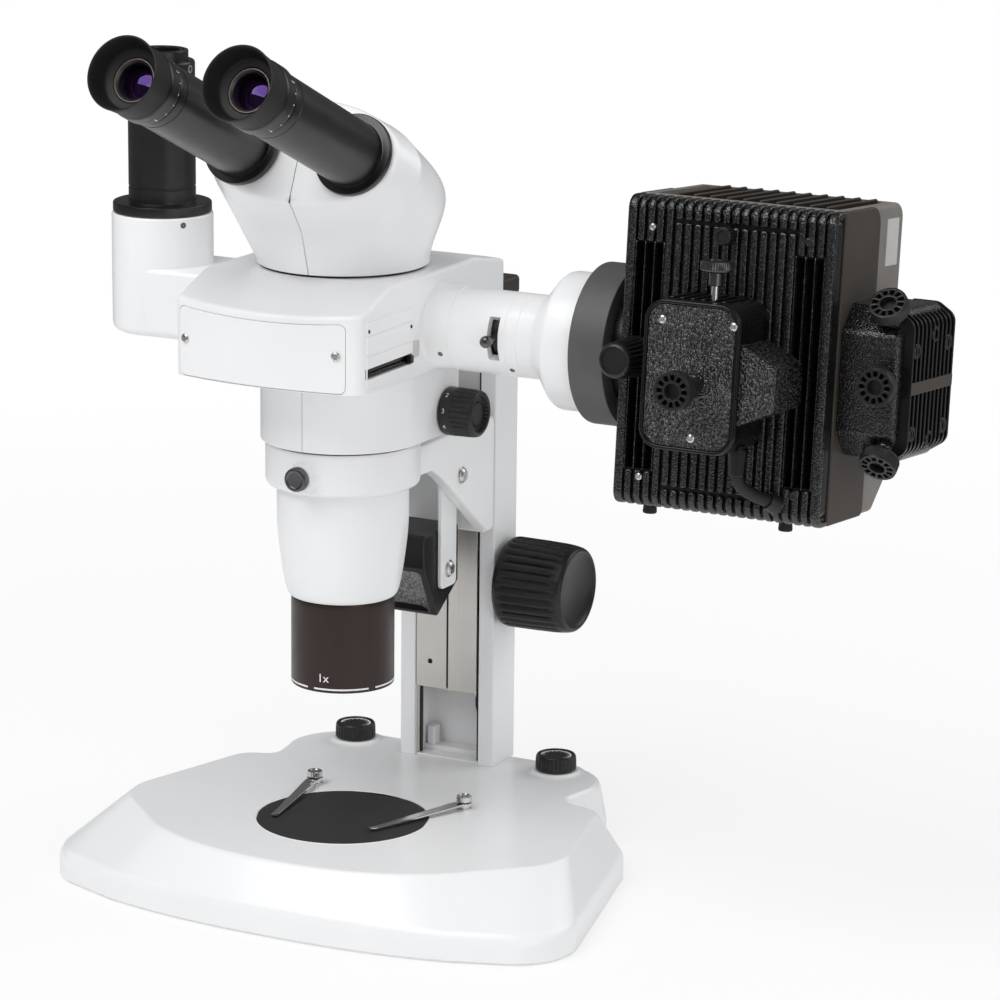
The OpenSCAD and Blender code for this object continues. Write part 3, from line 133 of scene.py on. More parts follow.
class Finish(Nodes):
    """One surface finish: a material and the nodes that make it."""

    def __init__(self, name, **sockets):
        self.material = bpy.data.materials.new(name)
        self.material.use_nodes = True
        super().__init__(self.material.node_tree)
        self.shader = Value(self, self.tree.nodes["Principled BSDF"])
        for socket, value in sockets.items():
            self.set(socket.replace("_", " "), value)

    def set(self, socket, value):
        self.feed(self.shader.node.inputs[socket], value)

    def here(self, stretch=(1, 1, 1)):
        where = self.node("ShaderNodeTexCoord", {}, {}).out("Object")
        if stretch == (1, 1, 1):
            return where
        return self.node("ShaderNodeVectorMath", {"operation": "MULTIPLY"}, {0: where, 1: stretch})

    def noise(self, where, scale, detail=2, roughness=0.5):
        return self.node("ShaderNodeTexNoise", {}, {"Vector": where, "Scale": scale,
                "Detail": detail, "Roughness": roughness})

    def cells(self, where, scale):
        return self.node("ShaderNodeTexVoronoi", {"feature": "SMOOTH_F1"},
                {"Vector": where, "Scale": scale})

    def ramp(self, value, low, high):
        return self.node("ShaderNodeMapRange", {}, {"Value": value, "From Min": low,
                "From Max": high})

    def mix(self, factor, first, second):
        return self.node("ShaderNodeMix", {"data_type": "RGBA"},
                {0: factor, 6: first, 7: second}).out(2)

    def bump(self, height, depth):
        self.set("Normal", self.node("ShaderNodeBump", {}, {"Height": height, "Strength": 1.0,
                "Distance": depth}))


def tint(red, green=None, blue=None):
    green = red if green is None else green
    return (red, green, green if blue is None else blue, 1.0)


def white_finish(name, shade, gloss, peel):
    """White enamel or moulding: soft clouds in the colour, and a fine orange peel."""
    finish = Finish(name, Coat_Weight=0.25, Coat_Roughness=0.12)
    here = finish.here()
    cloud = finish.noise(here, 17, 3)
    grain = finish.noise(here, 650, 2)
    speck = finish.ramp(finish.noise(here, 2300, 1), 0.70, 0.78)
    pale = finish.mix(cloud, tint(shade * 0.965, shade * 0.965, shade * 0.975), tint(shade))
    finish.set("Base Color", finish.mix(speck * 0.08, pale, tint(shade * 0.80)))
    finish.set("Roughness", gloss + 0.10 * cloud + 0.05 * grain)
    finish.bump(grain, peel)
    return finish


def black_finish(name, shade, gloss, scale, depth, warm=1.0, sheen=0.4):
    """Satin black: a fine grain, with paler rubbed patches."""
    finish = Finish(name, Specular_IOR_Level=sheen,
            Specular_Tint=tint(1.0, 1.0 / warm, warm ** -1.15))
    here = finish.here()
    rub = finish.ramp(finish.noise(here, 45, 4, 0.6), 0.42, 0.75)
    grain = finish.noise(here, scale, 3, 0.6)
    dark = tint(shade * warm, shade, shade / warm)
    finish.set("Base Color", finish.mix(rub, dark, tint(*[c * 1.18 for c in dark[:3]])))
    finish.set("Roughness", gloss + 0.08 * rub + 0.08 * grain)
    finish.bump(grain, depth)
    return finish


def wrinkle_finish(name, shade, scale, depth, gloss):
    """Black wrinkle paint: rounded islands with shiny crowns and dull creases. The highest crowns
    also get a lighter base colour, a painted glint.
    """
    finish = Finish(name, Specular_IOR_Level=0.8)
    here = finish.here()
    bend = finish.noise(here, scale * 0.8, 2)
    island = finish.cells(here, scale)
    height = (1 - island) * 0.7 + bend * 0.6
    crown = finish.ramp(height, 0.45, 0.95)
    painted_glint = finish.ramp(height, 0.74, 0.86)
    # Painted glints: the highest crowns are lighter in the base colour, the rest stays near black.
    finish.set("Base Color", finish.mix(painted_glint, tint(0.003), tint(shade, shade, shade * 1.08)))
    finish.set("Roughness", gloss + 0.10 * (1 - crown))
    finish.bump(height, depth)
    return finish


def metal_finish(name, shade, gloss, stretch, depth, scale=700.0):
    """Bare metal with the fine lines of its last cut along one direction."""
    finish = Finish(name, Metallic=1.0)
    lines = finish.noise(finish.here(stretch), scale, 3, 0.65)
    haze = finish.noise(finish.here(), 60, 3)
    red, green, blue = shade
    finish.set("Base Color", finish.mix(lines, tint(red * 0.86, green * 0.86, blue * 0.86),
            tint(*shade)))
    finish.set("Roughness", gloss + 0.10 * haze + 0.08 * lines)
    finish.bump(lines, depth)
    return finish


def hammered_finish(name):
    """The reflector behind the lower lamp: finely beaten bright sheet."""
    finish = Finish(name, Metallic=1.0)
    here = finish.here()
    dimple = finish.cells(here, 760)
    blotch = finish.noise(here, 620, 3, 0.65)
    finish.set("Base Color", finish.mix(finish.ramp(blotch, 0.32, 0.68), tint(0.13),
            tint(0.55, 0.54, 0.53)))
    finish.set("Roughness", 0.42 + 0.2 * blotch)
    finish.bump(dimple + blotch * 0.6, 0.0006)
    return finish


def lens_finish(name, coat, deep):
    """A coated lens: nearly black glass whose reflections take the coating's colour."""
    finish = Finish(name, IOR=1.75, Specular_Tint=coat)
    here = finish.here()
    swirl = finish.noise(here, 120, 2)
    dust = finish.ramp(finish.noise(here, 2600, 1), 0.72, 0.80)
    finish.set("Base Color", finish.mix(swirl, deep, tint(deep[0] * 3.0, deep[1] * 0.8,
            deep[2] * 1.3)))
    finish.set("Roughness", 0.03 + 0.04 * swirl + 0.2 * dust)
    finish.set("Coat Weight", finish.ramp(swirl, 0.45, 0.65) * 0.5)
    return finish


def paper_finish(name):
    """A bare paper sticker with faint fibres."""
    finish = Finish(name, Roughness=0.6)
    fibre = finish.noise(finish.here((1, 1, 4)), 500, 4)
    finish.set("Base Color", finish.mix(fibre, tint(0.44, 0.43, 0.42), tint(0.56, 0.55, 0.54)))
    finish.bump(fibre, 0.00003)
    return finish


FINISHES = {name: make(name, *settings) for name, (make, *settings) in {
    "white_enamel": (white_finish, 0.87, 0.27, 0.00006),
    "white_plastic": (white_finish, 0.885, 0.24, 0.00003),
    "black_anodised": (black_finish, 0.005, 0.26, 2600, 0.00004, 1.03, 0.75),
    "brown_anodised": (black_finish, 0.007, 0.28, 2600, 0.00004, 1.30, 0.6),
    "grey_anodised": (black_finish, 0.088, 0.42, 2200, 0.00004, 1.02),
    "lamp_black": (wrinkle_finish, 0.020, 1100, 0.00045, 0.17),
    "coarse_black": (wrinkle_finish, 0.060, 800, 0.0014, 0.17),
    "sheet_grey": (black_finish, 0.042, 0.42, 900, 0.00006, 1.16, 0.45),
    "rear_grey": (black_finish, 0.17, 0.48, 900, 0.00006, 1.08, 0.45),
    "smooth_black": (black_finish, 0.004, 0.22, 1500, 0.00003, 1.0, 0.45),
    "black_plastic": (black_finish, 0.011, 0.30, 1800, 0.00005, 1.0, 0.45),
    "brown_plastic": (black_finish, 0.030, 0.34, 1800, 0.00005, 1.15, 0.45),
    "black_rubber": (black_finish, 0.012, 0.52, 1300, 0.00008, 1.03),
    "stage_black": (black_finish, 0.030, 0.52, 1600, 0.00007, 1.0, 0.35),
    "satin_aluminium": (metal_finish, (0.80, 0.77, 0.73), 0.34, (1, 1, 0.02), 0.00004),
    "hammered_silver": (hammered_finish,),
    "bright_steel": (metal_finish, (0.72, 0.71, 0.70), 0.24, (1, 1, 0.3), 0.00003),
    "chrome": (metal_finish, (0.84, 0.84, 0.84), 0.08, (1, 1, 1), 0.00001, 300.0),
    "dark_chrome": (metal_finish, (0.16, 0.16, 0.165), 0.22, (1, 1, 1), 0.00003, 500.0),
    "bezel_grey": (metal_finish, (0.15, 0.13, 0.125), 0.36, (1, 1, 1), 0.00003, 500.0),
    "brass": (metal_finish, (0.78, 0.60, 0.27), 0.26, (1, 1, 0.1), 0.00004),
    "coated_glass": (lens_finish, (0.40, 0.20, 0.95, 1.0), (0.002, 0.0015, 0.005, 1.0)),
    "white_marks": (white_finish, 0.80, 0.45, 0.00002),
    "sticker": (paper_finish,),
}.items()}


# Outlines and frames.

def softened(corners, closed=True, steps=4):
    """A path with its corners rounded. Each corner is x, y and a radius."""
    path, count = [], len(corners)
    for i, (x, y, radius) in enumerate(corners):
        here = Vector((x, y))
        if radius <= 0 or (not closed and i in (0, count - 1)):
            path.append(here)
            continue
        before = Vector(corners[i - 1][:2]) - here
        after = Vector(corners[(i + 1) % count][:2]) - here
        reach = min(before.length, after.length) * 0.49
        before.normalize()
        after.normalize()
        half = before.angle(after) / 2
        along = min(radius / max(tan(half), 1e-4), reach)
        start, end = here + before * along, here + after * along
        for k in range(steps + 1):
            t = k / steps
            # The rounding is a conic through both ends, close to an arc.
            weight = max(sin(half), 0.05)
            a, b, c = (1 - t) ** 2, 2 * t * (1 - t) * weight, t ** 2
            path.append((start * a + here * b + end * c) / (a + b + c))
    return path


def rounded_rectangle(x0, x1, y0, y1, radius, steps=6):
    return softened([(x0, y0, radius), (x1, y0, radius), (x1, y1, radius), (x0, y1, radius)], True,
            steps)


def ring_path(radius, count=48, x=0.0, y=0.0):
    return [Vector((x + radius * cos(2 * pi * k / count), y + radius * sin(2 * pi * k / count)))
            for k in range(count)]


def inset(loop, distance):
    """A closed path moved towards its left by a distance."""
    moved = []
    for i, here in enumerate(loop):
        into = (here - loop[i - 1]).normalized()
        away = (loop[(i + 1) % len(loop)] - here).normalized()
        first, second = Vector((-into.y, into.x)), Vector((-away.y, away.x))
        moved.append(here + (first + second) * (distance / max(1 + first.dot(second), 0.4)))
    return moved


def turned_way(loop, left):
    area = sum(p.x * q.y - q.x * p.y for p, q in zip(loop, loop[1:] + loop[:1]))
    return loop if (area > 0) == left else loop[::-1]


def frame_at(origin, right, up):
    """A frame from its origin, its local X and its local Y."""
    right, up = Vector(right).normalized(), Vector(up).normalized()
    place = Matrix((right, up, right.cross(up))).transposed().to_4x4()
    place.translation = Vector(origin)
    return place


def axis_frame(origin, axis):
    """A frame whose local Z runs along an axis."""
    axis = Vector(axis).normalized()
    side = Vector((1, 0, 0)) if abs(axis.x) < 0.9 else Vector((0, 1, 0))
    up = axis.cross(side).normalized()
    return frame_at(origin, up.cross(axis), up)


def upright(x, y, z=0.0):
    return Matrix.Translation((x, y, z))


# The axis of the camera port and the illuminator, and other places that several pieces share.
PORT_Y, PORT_Z = 10, 335
CAMERA_X = -124.6
BARREL_R, BARREL_DROP = 23.5, 0.8
BARREL_Z = PORT_Z - BARREL_DROP
BASE_TOP = 40
RING_Z = 252
REFLECTOR_Y, REFLECTOR_Z = 83, 173
LIGHT_X, LIGHT_Y = 68.7, 138.6
CLIP_Y = 47.5
CLIPS = (("left", -45.5, -80.5), ("right", 54.5, -113.5))
SIDES = (("left", -1), ("right", 1))
TILT = radians(24)
FACE = frame_at((0, -49, 436), (1, 0, 0), (0, sin(TILT), cos(TILT)))
LEAN = radians(5)
LAMP = frame_at((0, PORT_Y, PORT_Z), (1, 0, 0), (0, cos(LEAN), -sin(LEAN)))
PORT = axis_frame((0, PORT_Y, PORT_Z), (1, 0, 0))
EYE = 35.0


def front_frame(x=0.0, y=0.0, z=0.0):
    """Local X to the right, local Y up and local Z out to the front."""
    return frame_at((x, y, z), (1, 0, 0), (0, 0, 1))


def side_frame(x=0.0, y=0.0, z=0.0):
    """Local X to the back, local Y up and local Z out to the right."""
    return frame_at((x, y, z), (0, 1, 0), (0, 0, 1))


def back_frame(y, z=0.0):
    """Local X to the left, local Y up and local Z out to the back."""
    return frame_at((0, y, z), (-1, 0, 0), (0, 0, 1))


def lamp_front(x=0.0, y=0.0, z=0.0):
    return LAMP @ front_frame(x, y, z)


def lamp_side(x=0.0, y=0.0, z=0.0):
    return LAMP @ side_frame(x, y, z)


# Meshes.

class Shape:
    """Points and faces of one piece, gathered from several forms."""

    def __init__(self):
        self.points, self.faces = [], []

    def ring(self, points, place):
        start = len(self.points)
        self.points += [place @ Vector((*p, 0)[:3]) for p in points]
        return list(range(start, len(self.points)))

    def join(self, low, high, closed=True):
        count = max(len(low), len(high))
        for k in range(count if closed else count - 1):
            j = (k + 1) % count
            if len(low) == 1:
                self.faces.append((low[0], high[j], high[k]))
            elif len(high) == 1:
                self.faces.append((low[k], low[j], high[0]))
            else:
                self.faces.append((low[k], low[j], high[j], high[k]))

    def loft(self, rings, place=Matrix(), closed=True, caps=False):
        rows = [self.ring(points, place) for points in rings]
        for low, high in zip(rows, rows[1:]):
            self.join(low, high, closed)
        if caps:
            self.faces += [tuple(rows[0][::-1]), tuple(rows[-1])]
        return self

    def turn(self, place, profile, count=96, wave=None, closed=False, arc=None):
        """A form turned around local Z, from radii and heights. A wave changes the radii."""
        rings = []
        spread = 2 * pi if arc is None else arc[1] - arc[0]
        first = 0 if arc is None else arc[0]
        steps = count if arc is None else count + 1
        for radius, height in profile:
            if radius < 1e-6:
                rings.append([(0, 0, height)])
                continue
            row = []
            for k in range(steps):
                a = first + spread * k / count
                r = radius + (wave(a, height) if wave else 0)
                row.append((r * cos(a), r * sin(a), height))
            rings.append(row)
        if closed:
            rings.append(rings[0])
        rows = [self.ring(points, place) for points in rings[:-1]]
        rows.append(rows[0] if closed else self.ring(rings[-1], place))
        for low, high in zip(rows, rows[1:]):
            self.join(low, high, arc is None)
        return self

    def hoop(self, place, profile, count=128, wave=None):
        """A turned form whose profile closes on itself."""
        return self.turn(place, profile, count, wave, True)

    def plate(self, place, outline, low, high, edge=0.0, holes=(), low_edge=None, steps=3):
        """A flat piece between two heights along local Z, with rounded rims and holes."""
        low_edge = edge if low_edge is None else low_edge
        loops = [turned_way(list(outline), True)] + [turned_way(list(h), False) for h in holes]
        levels = []
        for k in range(steps + 1 if low_edge > 0 else 1):
            t = pi / 2 * k / steps
            levels.append((low_edge * (1 - sin(t)), low + low_edge * (1 - cos(t))))
        for k in range(steps + 1 if edge > 0 else 1):
            t = pi / 2 * k / steps
            levels.append((edge * (1 - cos(t)), high - edge * (1 - sin(t))))
        ends = ([], [])
        for loop in loops:
            rows = [self.ring([(p.x, p.y, z) for p in inset(loop, d)], place) for d, z in levels]
            for a, b in zip(rows, rows[1:]):
                self.join(a, b)
            ends[0].append((inset(loop, levels[0][0]), rows[0]))
            ends[1].append((inset(loop, levels[-1][0]), rows[-1]))
        for side, end in enumerate(ends):
            ids = [i for _, row in end for i in row]
            for tri in tessellate_polygon([[p.to_3d() for p in loop] for loop, _ in end]):
                self.faces.append(tuple(ids[i] for i in (tri if side else tri[::-1])))
        return self

    def box(self, place, x0, x1, y0, y1, z0, z1, edge=0.5, corner=None):
        corner = edge if corner is None else corner
        return self.plate(place, rounded_rectangle(x0, x1, y0, y1, corner, 3), z0, z1, edge)

    def tube(self, path, radius, count=20):
        """A round bar along a path, with closed ends."""
        rings, side = [], None
        for i, here in enumerate(path):
            way = (path[min(i + 1, len(path) - 1)] - path[max(i - 1, 0)]).normalized()
            side = way.orthogonal() if side is None else side - way * side.dot(way)
            side.normalize()
            up = way.cross(side)
            turns = [2 * pi * k / count for k in range(count)]
            rings.append([here + (side * cos(a) + up * sin(a)) * radius for a in turns])
        return self.loft(rings, Matrix(), True, True)

    def screw(self, place, radius, height):
        """A domed screw head along local Z, with a cut for its driver."""
        self.turn(place, [(radius * 0.98, -0.6), (radius, 0), (radius, height * 0.45),
                (radius * 0.85, height * 0.82), (radius * 0.62, height),
                (radius * 0.58, height * 0.95), (0, height * 0.95)], 24)
        w, reach = radius * 0.13, radius * 0.60
        bars = [(-reach, -w), (-w, -w), (-w, -reach), (w, -reach), (w, -w), (reach, -w), (reach, w),
                (w, w), (w, reach), (-w, reach), (-w, w), (-reach, w)]
        self.plate(place, ring_path(radius * 0.66, 24), height * 0.5, height * 1.02, 0.08,
                [[Vector(p) for p in bars]], 0.0, 1)
        return self

    def piece(self, name):
        """A new object with these points and faces."""
        mesh = bpy.data.meshes.new(name)
        mesh.from_pydata([p * MM for p in self.points], [], self.faces)
        form = bmesh.new()
        form.from_mesh(mesh)
        bmesh.ops.remove_doubles(form, verts=form.verts, dist=1e-7)
        bmesh.ops.recalc_face_normals(form, faces=form.faces)
        form.to_mesh(mesh)
        form.free()
        return placed(name, mesh)

    def done(self, name, body, finish, replaces=(), sharp=38, weighted=True):
        """Makes the piece, on its body and in its finish."""
        return settle(self.piece(name), body, finish, replaces, sharp, weighted)


def settle(piece, body, finish, replaces=(), sharp=38, weighted=True):
    piece.data.shade_smooth()
    piece.data.set_sharp_from_angle(angle=radians(sharp))
    if weighted:
        normals = piece.modifiers.new("even_shading", "WEIGHTED_NORMAL")
        normals.keep_sharp = True
    piece.data.materials.clear()
    piece.data.materials.append(FINISHES[finish].material)
    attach(piece, body)
    if replaces:
        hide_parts(*replaces)
    return piece


def carve(piece, cutters):
    """Takes the cutters' forms out of a piece, for good."""
    for shape in cutters:
        tool = shape.piece("cutter")
        cut = piece.modifiers.new("cut", "BOOLEAN")
        cut.object, cut.operation, cut.solver = tool, "DIFFERENCE", "EXACT"
        bake(piece)
        bpy.data.objects.remove(tool)


def final_mesh(thing):
    """An object's mesh, as it comes out of its modifiers or its curve."""
    bpy.context.view_layer.update()
    view = bpy.context.evaluated_depsgraph_get()
    return bpy.data.meshes.new_from_object(thing.evaluated_get(view))


def bake(piece):
    """Turns a piece's modifiers into its mesh."""
    piece.data = final_mesh(piece)
    piece.modifiers.clear()


def ribs(count, depth, low, high, sharpness=1.0, taper=1.5):
    """A wave of grooves around a knob, between two heights."""
    def wave(angle, height):
        fade = max(0.0, min(1.0, (height - low) / taper, (high - height) / taper))
        crest = 0.5 + 0.5 * cos(angle * count)
        return -depth * fade * (1 - crest ** sharpness)
    return wave


def wrapped_text(shape, text, size, place, radius, angle, height, along=False):
    """Figures laid around a turned form, or along its axis."""
    curve = bpy.data.curves.new("figures", "FONT")
    curve.body, curve.size, curve.align_x = text, size, "CENTER"
    holder = placed("figures", curve)
    flat = final_mesh(holder)
    start = len(shape.points)
    for v in flat.vertices:
        a = angle + (-v.co.y if along else v.co.x) / radius
        z = height + (v.co.x if along else v.co.y)
        shape.points.append(place @ Vector((radius * cos(a), radius * sin(a), z)))
    shape.faces += [tuple(start + i for i in f.vertices) for f in flat.polygons]
    bpy.data.objects.remove(holder)


def arc_row(radius, height, start, end, steps):
    turns = [start + (end - start) * k / steps for k in range(steps + 1)]
    return [(radius * cos(a), radius * sin(a), height) for a in turns]


def arc_band(shape, place, radius, z0, z1, start, end, proud=0.06, steps=None):
    """A painted band around a turned form."""
    steps = steps or max(2, int((end - start) / radians(4)))
    shape.loft([arc_row(radius + proud, z, start, end, steps) for z in (z0, z1)], place, False)


def flat_band(shape, place, r0, r1, height, start, end, steps=24):
    """A painted band on a knob's flat face."""
    shape.loft([arc_row(r, height, start, end, steps) for r in (r0, r1)], place, False)


# Stand.

def base_path(left, right, front, corner, corner_r, shoulder, notch, lobe_r):
    """The base's outline at one height: an arc in front, shoulders and two lobes at the back."""
    mid, half = (left + right) / 2, (right - left) / 2
    path = []
    for i in [-14] + list(range(-9, 10)) + [14]:
        path.append((mid + half * i / 14, (front - corner) * abs(i / 14) ** 2.4 - front, corner_r
                if abs(i) == 14 else 0))
    path += [(mid + shoulder[0], shoulder[1], 16), (notch[0], notch[1], 10)]
    lobe = [(LIGHT_X + lobe_r * cos(radians(t)), 122 + lobe_r * sin(radians(t)), 0)
            for t in range(-20, 91, 10)]
    path += lobe + [(-x, y, 0) for x, y, _ in lobe[::-1]]
    path += [(-notch[0], notch[1], 10), (mid - shoulder[0], shoulder[1], 16)]
    return softened(path, True, 8)


def make_base():
    bottom = base_path(-164, 179, 105, 70, 40, (133, 88), (100, 98), 38)
    top = base_path(-140, 149, 89, 15, 36, (121, 83), (97, 90), 33.5)
    columns = []
    for low, high in zip(bottom, top):
        run = (high - low).length
        side = softened([(1.2, 0.6, 0), (0, 1.8, 1.0), (0, 16, 9), (run, 40, 4.5),
                (run + 14, 40, 0)], False, 6)
        rows = [(low * (1 - d / low.length)).to_3d() + Vector((0, 0, z)) for d,
                z in ((34, 3.6), (4, 3.6), (4, 0.6))]
        for p in side:
            if p.x < run:
                spot = low.lerp(high, p.x / run)
            else:
                spot = high * (1 - (p.x - run) / high.length)
            rows.append(Vector((spot.x, spot.y, p.y)))
        way = high.normalized()
        rows += [Vector((way.x * r, way.y * r, z)) for r, z in ((54, 40), (51.2, 40), (50.6, 39.75),
                (50.35, 39.2), (50.35, 36))]
        columns.append(rows)
    shape = Shape()
    rows = [shape.ring([c[i] for c in columns], Matrix()) for i in range(len(columns[0]))]
    for low, high in zip(rows, rows[1:]):
        shape.join(low, high)
    for rim, z in ((rows[0], 3.6), (rows[-1], 36)):
        shape.join(rim, shape.ring([(0, 0, z)], Matrix()))
    shape.done("base_shell", "stand", "white_enamel", ["base_casting"], 34)
    collars = Shape()
    for _, s in SIDES:
        collars.turn(upright(s * LIGHT_X, LIGHT_Y), [(17.5, 39.9), (15.6, 40.15), (14.3, 40.7),
                (13.7, 41.4), (13.2, 41.6), (0, 41.6)], 64)
    collars.done("knob_collars", "stand", "white_enamel")


def make_inlet():
    """The mains inlet in the base's back wall."""
    place = back_frame(157, 21.4)
    inlet = Shape()
    inlet.plate(place, softened([(-25, 0, 3), (-15, -11, 2), (15, -11, 2), (25, 0, 3), (15, 11, 2),
            (-15, 11, 2)], True, 4), 0.4, 3.6, 0.5)
    mouth = softened([(-11.5, -7.5, 1.5), (11.5, -7.5, 1.5), (11.5, 4.0, 1.5), (8, 7.5, 1.5),
            (-8, 7.5, 1.5), (-11.5, 4.0, 1.5)], True, 3)
    inlet.plate(place, rounded_rectangle(-14, 14, -10, 10, 2.4, 5), 3.4, 8.0, 0.7, [mouth], 0.0)
    inlet.done("inlet_frame", "stand", "black_plastic", ["power_inlet"])
    pins = Shape()
    for x, z in ((-7, -2), (7, -2), (0, 3)):
        pins.box(place, x - 1.0, x + 1.0, z - 2.0, z + 2.0, 3.4, 7.4, 0.4, 0.5)
    for x in (-20, 20):
        pins.screw(place @ upright(x, 0, 3.6), 2.3, 1.0)
    pins.done("inlet_pins", "stand", "bright_steel")


def make_column():
    wide, thick, front, back = 31.5, 10, 127.3, 156.8
    channel = softened([(-wide, front, 1.2), (thick - wide, front, 0.8),
            (thick - wide, back - 6, 0.8), (wide - thick, back - 6, 0.8),
            (wide - thick, front, 0.8), (wide, front, 1.2), (wide, back, 2.0), (-wide, back, 2.0)],
            True, 3)
    Shape().plate(Matrix(), channel, BASE_TOP, 325, 0.4).done("column_channel", "stand",
            "white_enamel", ["column"])
    cap = Shape().box(Matrix(), -32, 32, front - 0.5, back + 0.5, 325, 336.6, 2.6, 3.0)
    cap.done("column_top", "stand", "brown_plastic", ["column_cap"])
    floor = Shape()
    floor.box(Matrix(), -21.3, 21.3, 139.5, 150.6, 40, 44, 0.5, 0.5)
    floor.box(Matrix(), -21.3, 21.3, 129, 139.2, 40, 41.2, 0.4, 0.4)
    floor.box(Matrix(), -19.6, -14.4, 139.8, 147, 44, 55.5, 0.6, 0.8)
    floor.done("channel_stop", "stand", "white_enamel")
    # The rails are black, a painted shade for the narrow gaps beside the slide plates.
    rails = Shape()
    for x0, x1 in ((-21.6, -18.9), (18.9, 21.6)):
        rails.box(Matrix(), x0, x1, 130.8, 133.6, 41.5, 322, 0.2, 0.2)
    rails.done("slide_rails_painted_shade", "stand", "smooth_black", ["guide_rails"])
    liner = Shape().box(Matrix(), -21.6, -19.7, 130.0, 130.9, 41.5, 322, 0.2, 0.2)
    liner.done("rail_liner", "stand", "satin_aluminium")
    loop = [(21.6, 131.4, 88), (20.0, 131.4, 84.5), (19.1, 131.4, 80), (19.2, 131.4, 76),
            (20.0, 131.4, 72.5), (21.6, 131.4, 69)]
    wire = Shape().tube([Vector(p) for p in loop], 1.3, 14)
    wire.done("channel_wire", "stand", "black_rubber")


def make_stage():
    plate = Shape().turn(Matrix(), [(0, 36.05), (49.6, 36.05), (50, 36.4), (50, 39.5),
            (49.7, 39.85), (49.1, 40), (0, 40)], 128)
    plate.done("stage_disc", "stand", "stage_black", ["stage_plate"])
    rim = Shape().hoop(Matrix(), [(50.05, 39.2), (51.3, 39.2), (51.3, 39.95), (50.9, 40.22),
            (50.4, 40.25), (50.05, 40.0)])
    rim.done("stage_rim", "stand", "white_enamel")
    posts = Shape()
    knurl = ribs(24, 0.28, 45.0, 48.1, 1.0, 0.5)
    for _, x, _ in CLIPS:
        posts.turn(upright(x, CLIP_Y), [(2, 32.5), (2, 40), (4.2, 40.05), (4.2, 40.9), (3.5, 41.3),
                (3.5, 42.7), (2.0, 42.7), (2.0, 44.6), (4.0, 44.6), (4.6, 45.0), (4.6, 45.4),
                (4.6, 47.6), (4.3, 48.2), (3.9, 48.4), (2.9, 48.4), (2.7, 48.0), (0, 48.0)], 96,
                knurl)
    posts.done("clip_posts", "stand", "chrome", ["clip_screws"])
    for side, x, swing in CLIPS:
        place = upright(x, CLIP_Y, BASE_TOP) @ Matrix.Rotation(radians(swing), 4, "Z")
        arm = Shape()
        arm.plate(place, ring_path(4.8, 40), 3.0, 4.2, 0.25, [ring_path(2.1, 24)])
        route = [(4.0, 3.0, 3.6), (8, 3.0, 3.6), (14, 2.75, 3.5), (26, 2.2, 3.1), (45, 1.35, 2.5),
                (60, 0.75, 2.1), (64, 0.62, 2.0), (67, 0.75, 1.9), (69.5, 1.35, 1.7),
                (70, 1.6, 1.5)]
        rings = []
        for along, lift, half in route:
            rings.append([(along, y, lift + h) for y, h in ((-half, 0.15), (0.15 - half, 0),
                    (half - 0.15, 0), (half, 0.15), (half, 1.05), (half - 0.2, 1.2),
                    (0.2 - half, 1.2), (-half, 1.05))])
        arm.loft(rings, place, True, True)
        arm.done("clip_arm_" + side, "clip_" + side, "chrome", ["stage_clip_" + side], 30)


def make_light_knobs():
    for side, s in SIDES:
        place = upright(s * LIGHT_X, LIGHT_Y)
        wave = ribs(30, 0.55, 42.6, 50.2, 0.8, 0.9)
        knob = Shape().turn(place, [(3, 30), (3, 41.8), (11.4, 41.8), (12.0, 42.2), (12.3, 42.8),
                (12.3, 44), (12.25, 46), (12.2, 48), (12.1, 49.6), (11.8, 50.5), (11.2, 51.2),
                (10.6, 51.3), (10.2, 51.2), (9.9, 50.7), (9.6, 50.4), (0, 50.4)], 180, wave)
        knob.done("light_dial_" + side, "light_" + side, "black_plastic", ["light_knob_" + side])
        mark = Shape()
        flat_band(mark, place, 8.2, 9.3, 50.46, radians(-20), radians(200))
        for k in range(11):
            a = radians(-20 + 22 * k)
            flat_band(mark, place, 6.4, 8.2, 50.46, a - 0.025, a + 0.025, 2)
        mark.done("light_scale_" + side, "light_" + side, "white_marks", (), 38, False)


# Focus drive and arm.

def make_focus():
    knobs = Shape()
    wave = ribs(30, 2.0, 4.0, 40.6, 0.36, 2.2)
    for s in (-1, 1):
        place = axis_frame((s * 34.5, 142.6, 153.1), (s, 0, 0))
        knobs.turn(place, [(4, 0.3), (24.6, 0.3), (25.9, 0.8), (26.7, 1.8), (27.0, 3.0),
                (27.1, 4.0), (27.1, 5.4), (27.1, 6.7), (27.1, 8.5), (27.0, 22), (26.7, 34),
                (26.5, 36.8), (26.3, 38.9), (26.0, 41.0), (25.6, 43.0), (25.1, 44.3), (24.3, 45.2),
                (23.4, 45.5), (22.5, 45.3), (21.8, 44.6), (21.2, 43.9), (17, 42.5), (9, 41.3),
                (0, 40.9)], 272, wave)
    knobs.done("focus_grips", "focus_drive", "black_plastic", ["focus_knobs"])
    plate = Shape()
    facing = front_frame(0, 129.6)
    for x0, x1 in ((-20.9, -0.6), (0.6, 19.7)):
        hole = [ring_path(1.55, 20, -11.6, 100.3)] if x0 < -1 else []
        plate.plate(facing, rounded_rectangle(x0, x1, 84, 262, 0.4, 2), 0, 1.6, 0.25, hole, 0.0)
    plate.box(front_frame(0, 134.2), -17.2, 17.2, 84.2, 261.8, 0, 3.0, 0.2)
    plate.done("slide_plate", "carriage", "satin_aluminium", ["carriage"])
    # A black strip behind the gap between the slide plates, and a black plug at the bottom of the
    # hole: painted shade.
    dark = Shape().box(facing, -1.6, 1.6, 84.4, 261.6, -1.6, -0.3, 0.2)
    dark.turn(axis_frame((-11.6, 129.4, 100.3), (0, -1, 0)), [(1.55, -0.8), (1.55, 0.3), (0.9, 0.1),
            (0, 0)], 20)
    dark.done("slide_gap_painted_shade", "carriage", "smooth_black")


